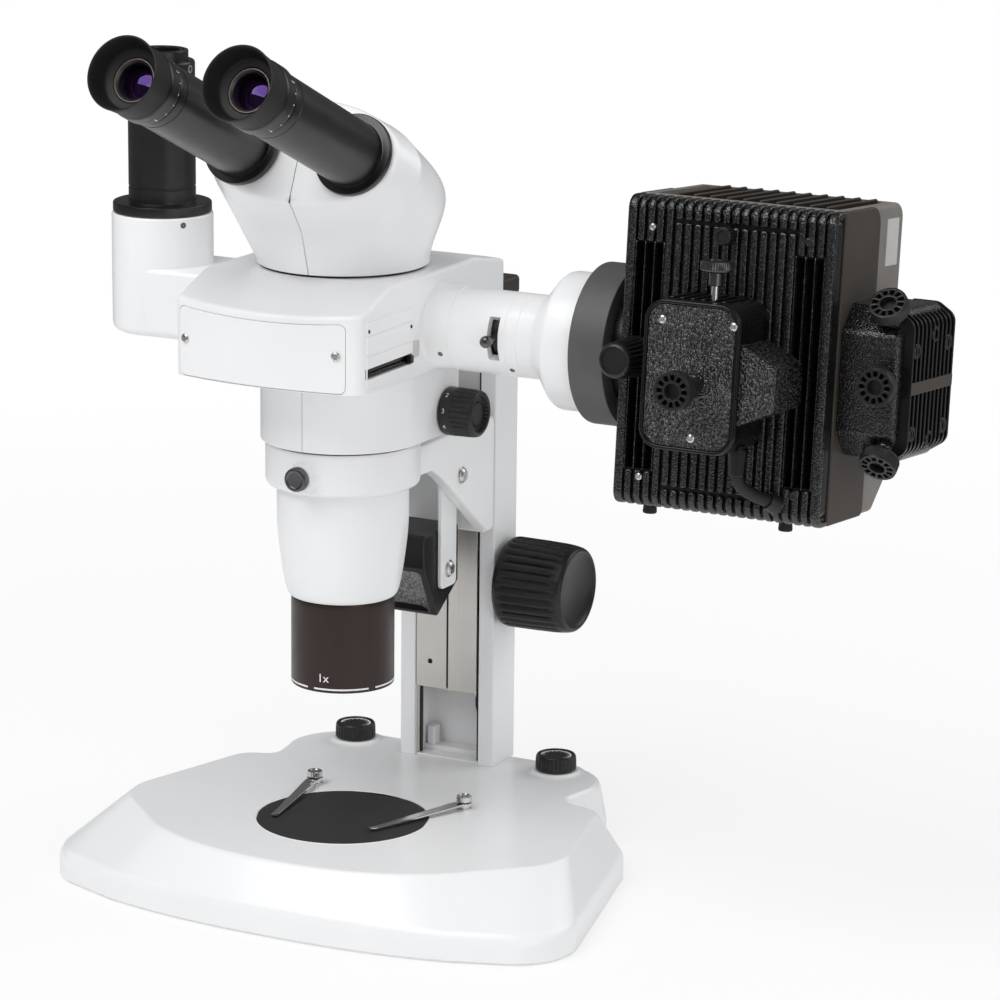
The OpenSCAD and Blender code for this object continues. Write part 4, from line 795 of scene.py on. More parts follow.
def make_arm():
    arm = Shape().hoop(upright(0, 0), [(38.3, 240), (40.8, 240), (42.6, 240.6), (43.6, 241.8),
            (44, 243.4), (44, 249), (44, 257), (44, 262.6), (43.8, 263.8), (43.2, 264.7),
            (42.2, 265), (38.3, 265)])
    boss = axis_frame((0, 0, RING_Z), (0, -1, 0))
    arm.hoop(boss, [(11.5, 41.5), (9.6, 43.4), (8.5, 44.8), (8.1, 46.2), (8.0, 48.6), (7.7, 49.6),
            (7.0, 50), (3.1, 50), (3.1, 42)], 64)
    cheek = softened([(18, 240, 2), (18, 257, 4), (124.5, 257, 4), (124.5, 188.5, 7),
            (115.5, 188.5, 7), (59, 233, 6), (47, 240, 6)], True, 5)
    for s in (-1, 1):
        x0, x1 = sorted((s * 24.5, s * 32.5))
        arm.plate(side_frame(), cheek, x0, x1, 1.3)
    arm.box(Matrix(), -32, 32, 113, 124.5, 188.6, 256.9, 1.2, 1.2)
    arm.box(Matrix(), -18, 18, 124, 128, 190.6, 255.6, 0.4, 0.4)
    arm.done("arm_casting", "carriage", "white_enamel", ["focus_arm"])
    strips = Shape()
    strip = softened([(73.5, 162, 3.5), (92.5, 162, 3.5), (92.5, 236, 3), (73.5, 236, 3)], True, 5)
    for s in (-1, 1):
        x0, x1 = sorted((s * 22, s * 24.5))
        strips.plate(side_frame(), strip, x0, x1, 0.5)
    strips.done("lamp_hangers", "carriage", "white_enamel", ["lamp_strips"])
    screws = Shape()
    for s in (-1, 1):
        for z, x in ((230, 32.5), (REFLECTOR_Z, 24.5)):
            place = axis_frame((s * x, REFLECTOR_Y, z), (s, 0, 0))
            screws.turn(place, [(5.1, -0.2), (5.1, 0.35), (4.9, 0.55), (3.5, 0.6)], 40)
            screws.screw(place @ upright(0, 0, 0.5), 4.2, 2.0)
        screws.turn(axis_frame((s * 12, 113, 243), (0, -1, 0)), [(4.5, -0.3), (4.5, 0.1),
                (4.2, 0.3), (2.7, 0.3), (2.5, -0.2), (0, -0.2)], 32)
    screws.done("arm_fixings", "carriage", "bright_steel", ["arm_screws"])
    lock = Shape()
    place = axis_frame((0, -50.3, RING_Z), (0, -1, 0))
    lock.turn(place, [(3, -10), (3, 0), (6.0, 0), (6.6, 0.3), (6.9, 0.8), (6.9, 1.4), (6.9, 3.8),
            (6.8, 4.4), (6.3, 5.0), (5.6, 5.2), (4.6, 5.0), (4.3, 4.7), (0, 4.6)], 144,
            ribs(36, 0.35, 0.6, 4.8, 1.0, 0.5))
    lock.done("ring_clamp_screw", "ring_lock", "dark_chrome", ["ring_lock_screw"])


def make_lower_lamp():
    side = softened([(74, 145, 2), (100, 162, 3), (100, 197, 3), (57, 197, 4), (57, 178, 2)], True,
            4)
    housing = Shape().plate(side_frame(), side, -21.7, 21.7, 1.0).piece("lower_lamp_house")
    lean = radians(27.3)
    window = frame_at((0, REFLECTOR_Y - 17.5, REFLECTOR_Z - 11.5), (1, 0, 0),
            (0, -sin(lean), cos(lean)))
    carve(housing, [Shape().box(window, -18.2, 18.2, -15.2, 15.2, -9, 14, 0.3, 2)])
    settle(housing, "reflector", "black_plastic", ["reflector_housing"])
    rows = []
    for i in range(25):
        y = -15 + 30 * i / 24
        rows.append([(-18 + 36 * k / 24, y,
                -8.6 + 5.5 * ((k - 12) / 12) ** 4 + 4.0 * ((i - 12) / 12) ** 4) for k in range(25)])
    sheet = Shape().loft(rows, window, False)
    sheet.done("beaten_reflector", "reflector", "hammered_silver", ["reflector_panel"], 60, False)


# Zoom body.

def make_zoom_body():
    lower = Shape().hoop(Matrix(), [(26.7, 175), (29.9, 175), (30.6, 175.3), (31.4, 176.4),
            (32.1, 178.2), (32.8, 181), (33.6, 185), (34.5, 190.4), (35.4, 196.5), (36.2, 202.8),
            (36.9, 209), (37.4, 216), (37.6, 224), (37.6, 239.2), (38.1, 239.8), (38.2, 241),
            (38.2, 265.2), (26.7, 265.2)])
    lower.done("zoom_barrel", "head", "white_enamel", ["zoom_body_lower"])
    halves, case_r = Shape(), 46.7
    for s in (-1, 1):
        outline = [Vector((s * 0.2, -case_r))]
        outline += [Vector((s * case_r * sin(radians(t)), -case_r * cos(radians(t))))
                for t in range(3, 91, 3)]
        rear = softened([(s * case_r, 0, 0), (s * case_r, 55, 5), (s * 0.2, 55, 0)], False, 5)
        halves.plate(Matrix(), outline + rear[1:], 266.2, 311, 0.55)
    halves.done("zoom_case", "head", "white_plastic", ["zoom_body_upper"])
    # A black ring in the gap under the zoom case paints the shade of that gap.
    gap = Shape().hoop(Matrix(), [(38, 264.9), (42.6, 265.1), (43.2, 265.3), (43.2, 266.6),
            (38, 266.6)])
    gap.done("zoom_case_painted_shade", "head", "smooth_black")
    barrel = Shape().hoop(Matrix(), [(22.6, 183), (22.6, 132.7), (24.6, 132.6), (24.8, 123.6),
            (26.4, 122.9), (28.6, 122.7), (29.3, 122.9), (29.6, 123.4), (29.6, 126.5), (29.6, 150),
            (29.6, 171), (29.5, 174.2), (29.1, 174.8), (28.4, 175), (26.5, 175), (26.5, 183)])
    barrel.done("objective_barrel", "head", "brown_anodised", ["objective"])
    marks = Shape()
    for k in range(5):
        arc_band(marks, Matrix(), 29.6, 124.5, 125.5, radians(-94 + 72 * k),
                radians(-94 + 72 * k + 63))
    wrapped_text(marks, "1x", 7.0, Matrix(), 29.66, radians(-83), 129.2)
    marks.done("objective_marks", "head", "white_marks", (), 60, False)
    glass = Shape()
    glass.turn(Matrix(), [(24.5, 133), (24.5, 127.6), (18, 126.0), (9, 125.1), (0, 124.8)], 96)
    glass.done("objective_front_lens", "head", "coated_glass")


def make_zoom_knobs():
    knobs, figures = Shape(), Shape()
    for s in (-1, 1):
        place = axis_frame((s * 47, 38, 279.1), (s, 0, 0))
        knobs.turn(place, [(3, -4), (3, 0.2), (13.2, 0.2), (13.8, 0.6), (14, 1.2), (14, 7.0),
                (13.85, 7.5), (13.8, 8.2), (13.8, 9.2), (13.75, 13), (13.6, 18), (13.4, 19.2),
                (13.0, 20.2), (12.3, 20.8), (11.3, 21), (10.5, 20.9), (10.1, 20.4), (9.9, 18.6),
                (9.3, 18.2), (7.2, 18.2), (6.9, 18.6), (6.5, 18.9), (0, 18.9)], 216,
                ribs(27, 0.85, 7.6, 19.4, 0.6, 1.0))
        for k, text in enumerate(("0.8", "1", "1.5", "2", "3", "4", "5", "6", "8")):
            wrapped_text(figures, text, 3.9, place, 14.06, radians(40 * k + 14), 4.0, True)
    knobs.done("zoom_grips", "zoom_drive", "black_plastic", ["zoom_knobs"])
    figures.done("zoom_figures", "zoom_drive", "white_marks", (), 60, False)


# Head box.

def make_head_box():
    left, right, back, low = -61.0, 57.0, 100.0, 310.4
    nose, top = 88, 366
    mid, half = (left + right) / 2, (right - left) / 2
    bulge_r = (half ** 2 + 8 ** 2) / 16
    slope = 11 / 31.5

    def front(x):
        return bulge_r - nose - sqrt(bulge_r ** 2 - (x - mid) ** 2)

    side = [(-96, low), (101, low), (101, 357), (51.5, top), (-48.5, top),
            (-96, top - 47.5 * slope)]
    solid = bmesh.new()
    ends = [[solid.verts.new((x, y, z)) for y, z in side] for x in (-75, 75)]
    for i in range(len(side)):
        j = (i + 1) % len(side)
        solid.faces.new((ends[0][i], ends[0][j], ends[1][j], ends[1][i]))
    solid.faces.new(ends[0])
    solid.faces.new(ends[1][::-1])
    planes = [((0, back, 0), (0, 1, 0))]
    for x, s in ((left, -1), (right, 1)):
        planes += [((x, 0, 0), (s, 0, 0)), ((x, back - 13, 0), (s * 13, 17, 0))]
    steps = 14
    for i in range(steps):
        a = asin(half / bulge_r) * (2 * (i + 0.5) / steps - 1)
        planes.append(((mid + bulge_r * sin(a), bulge_r - nose - bulge_r * cos(a), 0),
                (sin(a), -cos(a), 0)))
    for spot, way in planes:
        parts = list(solid.verts) + list(solid.edges) + list(solid.faces)
        cut = bmesh.ops.bisect_plane(solid, geom=parts, plane_co=spot, plane_no=way,
                clear_outer=True)
        edges = [e for e in cut["geom_cut"] if isinstance(e, bmesh.types.BMEdge)]
        if edges:
            bmesh.ops.contextual_create(solid, geom=edges)
    bmesh.ops.remove_doubles(solid, verts=solid.verts, dist=0.01)
    bmesh.ops.recalc_face_normals(solid, faces=solid.faces)
    for x, s, radius in ((right, 1, 6.5), (left, -1, 3.2)):
        posts = [e for e in solid.edges if all(s * (v.co.x - x) > -0.1 and v.co.y < -78
                for v in e.verts)]
        bmesh.ops.bevel(solid, geom=posts, offset=radius, offset_type="OFFSET", segments=6,
                profile=0.5, affect="EDGES")
    # The lower edges stay crisper than the others.
    weight = solid.edges.layers.float.new("bevel_weight_edge")
    for edge in solid.edges:
        if len(edge.link_faces) == 2 and edge.calc_face_angle() > radians(20):
            edge[weight] = 0.35 if all(v.co.z < low + 0.5 for v in edge.verts) else 1.0
    bmesh.ops.scale(solid, vec=(MM, MM, MM), verts=solid.verts)
    mesh = bpy.data.meshes.new("head_box_casting")
    solid.to_mesh(mesh)
    solid.free()
    box = placed("head_box_casting", mesh)
    soft = box.modifiers.new("soft_edges", "BEVEL")
    soft.width, soft.segments = 2.6 * MM, 4
    soft.limit_method, soft.use_clamp_overlap = "WEIGHT", False
    bake(box)

    def panel(grow, inner, outer, edge):
        """A plate that follows the front's bulge, with rounded corners, between two depths."""
        x0, x1, corner, rings = -57.6 - grow, 47.5 + grow, 3.5 + grow, []
        turn = [(corner * (1 - cos(radians(t))), corner * (1 - sin(radians(t))))
                for t in range(0, 91, 15)]
        run = [(x0 + d, drop) for d, drop in turn]
        run += [(x0 + corner + (x1 - x0 - 2 * corner) * k / 18, 0) for k in range(1, 18)]
        for x, drop in run + [(x1 - d, drop) for d, drop in turn[::-1]]:
            y = front(x)
            z0, z1 = 311.3 - grow + drop, top + slope * (y + 48.5) - 4.4 + grow - drop
            rings.append([(x, y + inner, z0), (x, y + outer + edge, z0), (x, y + outer, z0 + edge),
                    (x, y + outer, z1 - edge), (x, y + outer + edge, z1), (x, y + inner, z1)])
        return Shape().loft(rings, Matrix(), True, True)

    facing = front_frame()
    slot = Shape().box(facing, 51, 60, 319, 324.8, 24, 76, 0.2, 0.8)
    hollow = Shape().box(facing, 40, 53.5, 316, 340, -2, 78, 0.2, 0.5)
    carve(box, [panel(0.3, 2.5, -3.0, 0.1), hollow, slot])
    settle(box, "head", "white_plastic", ["head_box"], 34)
    panel(0.0, 2.4, -0.25, 0.4).done("head_box_panel", "head", "white_plastic", ["head_box_cover"],
            34)
    plates = Shape()
    beside = side_frame(right)
    for z0, z1, holes in ((343.4, 350.6, ()), (332.6, 342.6, ()), (313.8, 331.4,
            [rounded_rectangle(-75, -24.6, 319, 324.8, 0.8, 2)])):
        plates.plate(beside, rounded_rectangle(-75.6, -23.4, z0, z1, 0.8, 3), -0.4, 0.45, 0.3,
                holes)
    behind = back_frame(back)
    plates.plate(behind, rounded_rectangle(-36, 36, 316, 351, 3, 5), -0.3, 0.8, 0.4)
    plates.done("head_box_plates", "head", "white_plastic")
    # Two dust strips close the slot, and the tab's stem runs between them.
    liner = Shape()
    for z0, z1 in ((319.2, 321.4), (322.2, 324.6)):
        liner.box(beside, -75.4, -24.4, z0, z1, -4.0, -1.6, 0.2, 0.3)
    liner.done("slot_liner", "head", "smooth_black")
    tab = Shape().box(beside, -23.4, -16.2, 321.5, 330.7, -0.4, 0.5, 0.2, 0.8)
    tab.done("slot_tab", "head", "satin_aluminium")
    fixings = Shape()
    for x in (-53.6, 42.4):
        fixings.screw(axis_frame((x, front(x) - 0.2, 332), ((x - mid) / bulge_r, -1, 0)), 2.6, 1.2)
    for x in (-31, 31):
        for z in (321, 346):
            fixings.screw(behind @ upright(x, z, 0.7), 2.4, 1.2)
    for x, z in ((203, 70.6), (203, -64)):
        fixings.screw(lamp_front(x, -41.4, z), 2.1, 1.3)
    fixings.done("cover_fixings", "head", "bright_steel", ["cover_screws"])
    small = Shape()
    for x, z in ((293, 70.6), (293, -64)):
        small.screw(lamp_front(x, -41.4, z), 2.4, 1.2)
    for y, z in ((-73.6, 345.5), (-25.6, 340)):
        small.screw(axis_frame((right + 0.3, y, z), (1, 0, 0)), 1.1, 0.5)
    small.done("dark_fixings", "head", "black_plastic")
    tray = Shape().box(side_frame(), -28.2, -24.8, 319.6, 324.0, 55.7, 58.8, 0.4, 0.6)
    tray.box(side_frame(), -28.0, -25.0, 321.5, 322.1, 50, 56.4, 0.1, 0.2)
    tray.box(Matrix(), 20, 52.4, -27.8, 27.8, 316, 339, 0.5, 0.5)
    tray.done("filter_tray", "filter", "black_plastic", ["filter_slider"])


# Binocular head.

def oval(half_w, low, high, up, depth, count, low_power, power):
    """A ring on the eyetube face, from its foot to the right, with its own lower and upper half."""
    points = []
    for k in range(count):
        a = 2 * pi * k / count
        s, c = sin(a), cos(a)
        reach, bend = (low, low_power) if c > 0 else (high, power)
        x = half_w * (abs(s) ** (2 / bend)) * (1 if s > 0 else -1)
        y = -reach * (abs(c) ** (2 / bend)) * (1 if c > 0 else -1)
        points.append(FACE @ Vector((x, y + up, depth)))
    return points


def bent(start, end, leave, arrive, steps):
    """Points of a curve between two points, with its direction at each end."""
    points = []
    for i in range(steps):
        t = i / steps
        first = start * (2 * t ** 3 - 3 * t ** 2 + 1) + leave * (t ** 3 - 2 * t ** 2 + t)
        points.append(first + end * (3 * t ** 2 - 2 * t ** 3) + arrive * (t ** 3 - t ** 2))
    return points


def make_shell():
    count = 144
    angles = [2 * pi * k / count for k in range(count)]
    # The seam leans to the right on its way down, so the foot's points turn a little in front.
    turned = [a + 0.1 * max(0.0, cos(a)) ** 2 for a in angles]
    foot = [Vector((48.5 * sin(a), -48.5 * cos(a), 369)) for a in turned]
    back = [Vector((66.5 * sin(a), -9 - 42 * cos(a), 402 - 15 * cos(a))) for a in angles]
    crease = oval(66.0, 37.5, 34.0, -3.0, -20.0, count, 1.85, 2.05)

    def rim(shrink, depth):
        return oval(60.5 - shrink, 31 - shrink, 31 - shrink, -0.2, depth, count, 2.1, 2.1)

    columns = []
    for a, f, b, c, e in zip(angles, foot, back, crease, rim(0, -4.5)):
        # The front is a straight cone, and the back swells out.
        swell = min(1, max(0, (0.35 - cos(a)) / 0.85))
        swell = swell * swell * (3 - 2 * swell)
        w = f.lerp(c, 0.55).lerp(b, swell)
        low, high = (w - f).length, (c - w).length
        through = (c - f).normalized()
        up = (w - f).normalized().lerp(Vector((0, 0, 1)), 0.6 * swell)
        away = (e - c).normalized() * 0.12 + (c - w).normalized() * 0.88
        column = [Vector((f.x * 0.985, f.y * 0.985, 367.2)), Vector((f.x, f.y, 367.6))]
        column += bent(f, w, up * low, through * low, 12)
        column += bent(w, c, through * high, away * high, 16)
        columns.append(column + [c.lerp(e, t) for t in (0, 0.05, 0.12, 0.3, 0.55, 0.8, 0.93)])
    rings = [[column[i] for column in columns] for i in range(len(columns[0]))]
    rings += [rim(d, z - 4.5) for d, z in ((0.0, 0.0), (0.4, 1.3), (1.1, 2.6), (2.2, 3.6),
            (3.6, 4.25), (5.4, 4.5))]
    rings += [rim(d, 0) for d in (8, 16, 29)]
    # The seam between the two mouldings is a groove along the middle.
    for ring in rings:
        middle = sum(ring, Vector()) / count
        for k, side in ((0, 1), (count // 2, -1)):
            for n, wide in ((k - 1, -0.5), ((k + 1) % count, 0.5)):
                ring[n] = Vector((ring[k].x + wide * side, ring[k].y, ring[k].z))
            ring[k] = ring[k] + (middle - ring[k]).normalized() * 2.4
    shape = Shape().loft(rings)
    shape.faces.append(tuple(range(len(shape.points) - count, len(shape.points))))
    shape.faces.append(tuple(range(count))[::-1])
    shape.done("binocular_case", "head", "white_plastic", ["binocular_shell"], 50, False)
    # A black ring under the shell's foot paints the shade in the gap above the head box.
    seat = Shape().hoop(upright(0, 0), [(40, 365.6), (47.0, 365.6), (47.0, 368.2), (40, 368.2)])
    seat.done("head_seat_shade_ring", "head", "smooth_black")
    pin = Shape().turn(FACE @ upright(8, 26, -3), [(2.2, -2), (2.2, 2.6), (1.9, 3.1), (1.2, 3.3),
            (1.0, 2.6), (0, 2.6)], 24)
    pin.done("face_set_screw", "head", "bright_steel")
    # A grey strip along the seam on the eyetube face paints the shade in its groove.
    seam = Shape().box(FACE, -0.2, 0.2, -29.5, 29.5, -1, 0.08, 0.05, 0.05)
    seam.done("face_seam_painted_shade", "head", "grey_anodised")


def make_eyetubes():
    for side, s in SIDES:
        place = FACE @ upright(s * EYE, 0)
        tube = Shape().hoop(place, [(15.1, 6), (15.1, 0.4), (21.8, 0.4), (22.6, 0.7), (23, 1.4),
                (23, 4.0), (22.7, 4.7), (22.1, 5.0), (19.4, 5.0), (18.7, 5.3), (18.5, 6.0),
                (18.5, 60), (18.5, 98.6), (18.2, 98.9), (18.2, 99.7), (18.5, 100), (18.5, 104.9),
                (18.2, 105.6), (17.6, 105.8), (15.1, 105.8), (15.1, 80)], 112)
        tube.done("eye_tube_" + side, "eyetube_" + side, "black_anodised", ["eyetube_" + side])
        eye = FACE @ upright(s * EYE, 0, 106.3)
        ring = Shape()
        knurl = ribs(90, 0.14, 5.0, 10.6, 1.0, 0.5)
        ring.hoop(eye, [(15, -17), (15, -0.2), (15.3, -0.2), (15.3, 1.9), (19.0, 1.9), (19.6, 2.2),
                (19.8, 2.8), (19.8, 4.8), (19.8, 5.6), (19.8, 10.0), (19.8, 10.8), (19.55, 11.6),
                (19.3, 12), (15, 12)], 180, knurl)
        ring.done("eyepiece_ring_" + side, "eyepiece_" + side, "black_anodised",
                ["eyepiece_" + side])
        cup = Shape().hoop(eye, [(15.2, 11.9), (19.2, 12.0), (19.35, 12.6), (19.4, 15), (19.7, 20),
                (20.2, 26), (20.6, 29.6), (20.75, 30.5), (20.6, 31), (20.1, 31.05), (19.6, 30.6),
                (19.2, 29.4), (18.6, 26.6), (17.9, 23), (17.3, 20.4), (16.8, 19.2), (16.2, 18.6),
                (15.2, 18.3), (13.6, 18.0), (12.6, 17.6), (12.4, 16.9), (12.4, 13)], 112)
        cup.done("eye_cup_" + side, "eyepiece_" + side, "black_rubber")
        bezel = Shape().hoop(eye, [(12.3, 9), (12.3, 17.2), (12.0, 17.6), (11.4, 17.6),
                (10.2, 16.6), (9.8, 15.8), (9.7, 15.0), (9.7, 9)], 96)
        bezel.done("lens_bezel_" + side, "eyepiece_" + side, "bezel_grey")
        lens = Shape().turn(eye, [(9.8, 9.4), (9.8, 10.2), (8.6, 10.75), (7.2, 11.29), (5.4, 11.83),
                (3.6, 12.2), (1.8, 12.43), (0, 12.5)], 80)
        lens.done("eye_lens_glass_" + side, "eyepiece_" + side, "coated_glass",
                ["eye_lens_" + side])
        marks = Shape()
        scale = [radians(-60 + 18 * k) for k in range(11)]
        for k, angle in enumerate(scale):
            arc_band(marks, eye, 19.8, 2.9, 3.8 if k % 5 else 4.4, angle - 0.016, angle + 0.016,
                    0.05, 2)
        for k, text in ((0, "+"), (5, "0"), (10, "-")):
            wrapped_text(marks, text, 2.4, eye, 19.86, scale[k], 4.6)
        marks.done("eyepiece_scale_" + side, "eyepiece_" + side, "white_marks", (), 60, False)


# Camera port and illuminator.

def around_camera(angle, radius, z):
    """On the camera port's side, with local Z out from its axis."""
    across, along = cos(radians(angle)), sin(radians(angle))
    return axis_frame((CAMERA_X + radius * across, PORT_Y + radius * along, z), (across, along, 0))


def make_camera_port():
    camera = upright(CAMERA_X, PORT_Y)
    arm = Shape().turn(camera, [(0, 314), (23.4, 314), (25.6, 314.3), (27.5, 315.3), (28.7, 317),
            (29.2, 319.4), (29.2, 381.6), (28.9, 382.5), (28.3, 382.9), (0, 382.9)], 112)
    beam = side_frame(0, PORT_Y)
    arm.plate(beam, softened([(-28.7, 314.1, 5.5), (28.7, 314.1, 5.5), (28.7, 354, 2.5),
            (-28.7, 354, 2.5)], True, 6), -126, -56.8, 0.4)
    arm.done("camera_bracket", "head", "white_plastic", ["camera_arm"])
    tube = Shape()
    thread = [(12.7 - 0.35 * (k % 2), 472.2 + 0.32 * k) for k in range(11)]
    tube.hoop(camera, [(10.7, 384), (17, 376), (17, 383), (27.4, 383), (28.1, 383.3), (28.4, 384),
            (28.4, 388), (28.1, 388.7), (27.4, 389), (20.2, 389), (19.5, 389.3), (19.3, 390),
            (19.3, 397), (18.9, 397.3), (18.9, 398.1), (19.3, 398.4), (19.3, 430), (19.3, 468.4),
            (19.0, 469.4), (18.3, 470), (14.6, 470), (14.1, 470.4), (14.1, 471.6),
            (13.7, 472)] + thread + [(12.3, 475.8), (11.6, 476), (10.9, 475.8), (10.7, 475)], 112)
    tube.done("camera_barrel", "head", "black_anodised", ["camera_tube"])
    cap = Shape().hoop(camera, [(15.6, 470), (15.6, 475.2), (15.3, 475.8), (14.7, 476), (13.6, 476),
            (13.2, 475.6), (13.2, 470)], 96, ribs(60, 0.25, 470.6, 475.2, 1, 0.5))
    cap.done("camera_clamp_ring", "head", "black_anodised")
    pins = Shape()
    for angle in (0, 120, 240):
        pins.turn(around_camera(angle, 19.2, 465.8), [(2.3, -0.4), (2.3, 0.25), (1.9, 0.35),
                (1.2, 0.3), (1.1, -0.2), (0, -0.2)], 28)
    pins.done("camera_set_screws", "head", "bright_steel")
    dark = Shape()
    for angle in (-34.7, 150):
        dark.turn(around_camera(angle, 29.1, 378.9), [(1.7, -0.4), (1.7, 0.2), (1.3, 0.3),
                (0.7, 0.2), (0, 0.05)], 20)
    for x, y, z in ((67.6, -10.55, 322.8), (110.4, -6.4, 317.4)):
        way = Vector((0, y - PORT_Y, z - BARREL_Z)).normalized()
        dark.turn(axis_frame(Vector((x, PORT_Y, BARREL_Z)) + way * (BARREL_R - 0.1), way),
                [(1.5, -0.4), (1.5, 0.2), (1.1, 0.3), (0.6, 0.2), (0, 0.05)], 20)
    dark.done("grub_screws", "head", "dark_chrome")


def make_illuminator():
    tube = Shape()
    place = upright(0, 0, -BARREL_DROP) @ PORT
    r, slot0, slot1 = BARREL_R, 98.0, 104.6
    profile = [(24.6, 56.8), (24.3, 57.5), (23.8, 58.3), (r, 59.4), (r, 72.6), (r - 0.3, 72.8),
            (r - 0.3, 73.3), (r, 73.5), (r, slot0)]
    rest = [(r, slot1), (r, 107.8), (r - 0.3, 108.0), (r - 0.3, 108.5), (r, 108.7), (r, 115.2),
            (r - 0.3, 115.4), (r - 0.3, 115.9), (r, 116.1), (r, 124.4), (r + 0.3, 125.4),
            (r + 1.1, 126.4), (37.0, 136.8), (38.1, 138.1), (38.5, 139.8), (38.5, 146),
            (38.5, 159.6), (38.1, 160.2), (37.4, 160.4), (18.7, 160.4)]
    tube.turn(place, profile, 128)
    tube.turn(place, rest, 128)
    # The slot faces the front and a little up, since the lever's axis lies above the barrel's.
    way = PORT.to_3x3().inverted() @ Vector((0, -1, 0.035))
    middle, gap = atan2(way.y, way.x), radians(31)
    tube.turn(place, [(r, slot0), (r, slot1)], 112, arc=(middle + gap, middle + 2 * pi - gap))
    for x in (slot0, slot1):
        tube.turn(place, [(r - 0.04, x), (18.8, x)], 32, arc=(middle - gap, middle + gap))
    for a in (middle - gap, middle + gap):
        tube.loft([[(d * cos(a), d * sin(a), z) for z in (slot0, slot1)] for d in (r - 0.04, 18.8)],
                place, False)
    tube.done("illuminator_barrel", "head", "white_enamel", ["illuminator_tube"])
    band = Shape().hoop(PORT, [(18.0, 98.2), (18.0, 104.4), (12.5, 104.4), (12.5, 98.2)], 96)
    band.done("iris_band", "iris", "black_anodised")
    lever = Shape().turn(axis_frame((101.3, PORT_Y, PORT_Z), (0, -1, 0)), [(2.3, 16.5), (2.3, 27.2),
            (2.7, 28.0), (3.2, 28.9), (3.4, 30.2), (3.4, 31.6), (3.1, 32.6), (2.4, 33.4),
            (1.3, 33.8), (0, 33.9)], 40)
    lever.done("iris_handle", "iris", "dark_chrome", ["iris_lever"])
    ring = Shape().hoop(PORT, [(30.1, 160.7), (38.7, 160.7), (38.7, 157.6), (43.8, 157.6),
            (44.4, 158.0), (44.6, 158.8), (44.6, 177.4), (44.4, 178.2), (43.8, 178.6),
            (30.1, 178.6)])
    ring.done("coupling_collar", "head", "grey_anodised", ["coupling_ring"])
    neck = Shape().hoop(PORT, [(30.1, 178.7), (34.6, 178.7), (35, 179.1), (35, 188), (30.1, 188)])
    neck.done("lamp_neck", "head", "smooth_black")
    cell = Shape().turn(PORT, [(29.9, 166.6), (29.9, 180.4), (26, 180.4), (26, 176), (18, 178),
            (0, 179.2)], 96)
    cell.turn(PORT, [(29.9, 166.6), (26, 166.6), (26, 171), (18, 169), (0, 167.8)], 96)
    cell.done("collector_glass", "collector", "coated_glass", ["collector_lens"])


# Lamp house.

LAMP_X0, LAMP_X1 = 188.0, 308.0
LAMP_Y0, LAMP_Y1 = -28.0, 56.5
LAMP_Z0, LAMP_Z1 = -80.5, 87.0
RIBS = 22
RIB_STEP = (LAMP_X1 - LAMP_X0) / RIBS
MIRROR_SCREWS = (("top", -18, 32, 45), ("front", -25, -2, 0), ("bottom", -18, -36, -45))


def mirror_frame(y, z, lean):
    """On the mirror box, with local Z along one of its screws."""
    return LAMP @ axis_frame((334, y, z), (0, -cos(radians(lean)), sin(radians(lean))))


def make_lamp_cover():
    x0, x1, z0, z1 = LAMP_X0 + 1.0, LAMP_X1 - 1.0, LAMP_Z0 + 2.6, LAMP_Z1 - 2.6
    vents = (1, 2, 3, 18, 19, 20)
    middle = [LAMP_X0 + (i + 0.5) * RIB_STEP for i in range(RIBS)]
    outline = rounded_rectangle(x0, x1, z0, z1, 6, 6)
    tray = Shape().plate(lamp_front(0, LAMP_Y0), outline, 0, 11.2, 4.0, (),
            0.2).piece("lamp_cover_tray")
    slots = Shape()
    for i in vents:
        slots.box(lamp_front(0, LAMP_Y0), middle[i] - 2.05, middle[i] + 2.05, -60, 62, 3, 14, 0.1,
                0.6)
    carve(tray, [slots])
    settle(tray, "head", "smooth_black", ["lamp_front_cover"])
    bars = Shape()
    for i, x in enumerate(middle):
        wide = 3.9
        if i in vents:
            spans = ((LAMP_Z0, -60.5, True, False, 0), (62.5, LAMP_Z1, False, True, 0))
        elif 5 <= i <= 17:
            spans = ((LAMP_Z0, -69.0, True, False, 0), (-67.8, 74.4, False, False, -0.2),
                    (75.6, LAMP_Z1, False, True, 0))
        else:
            spans = ((LAMP_Z0, LAMP_Z1, True, True, 0),)
        if i in (0, RIBS - 1):
            wide, x = 5.2, x + (0.25 if i else -0.25)
        for low, high, wrap_low, wrap_high, proud in spans:
            rib_bar(bars, x, wide, low, high, wrap_low, wrap_high, proud)
    for i in (1, 2, 3, 4, 18, 19, 20, 21):
        rib_bar(bars, LAMP_X0 + i * RIB_STEP, 1.1, -61, 63, False, False, -0.9)
    bars.done("lamp_cover_ribs", "head", "lamp_black", (), 40)


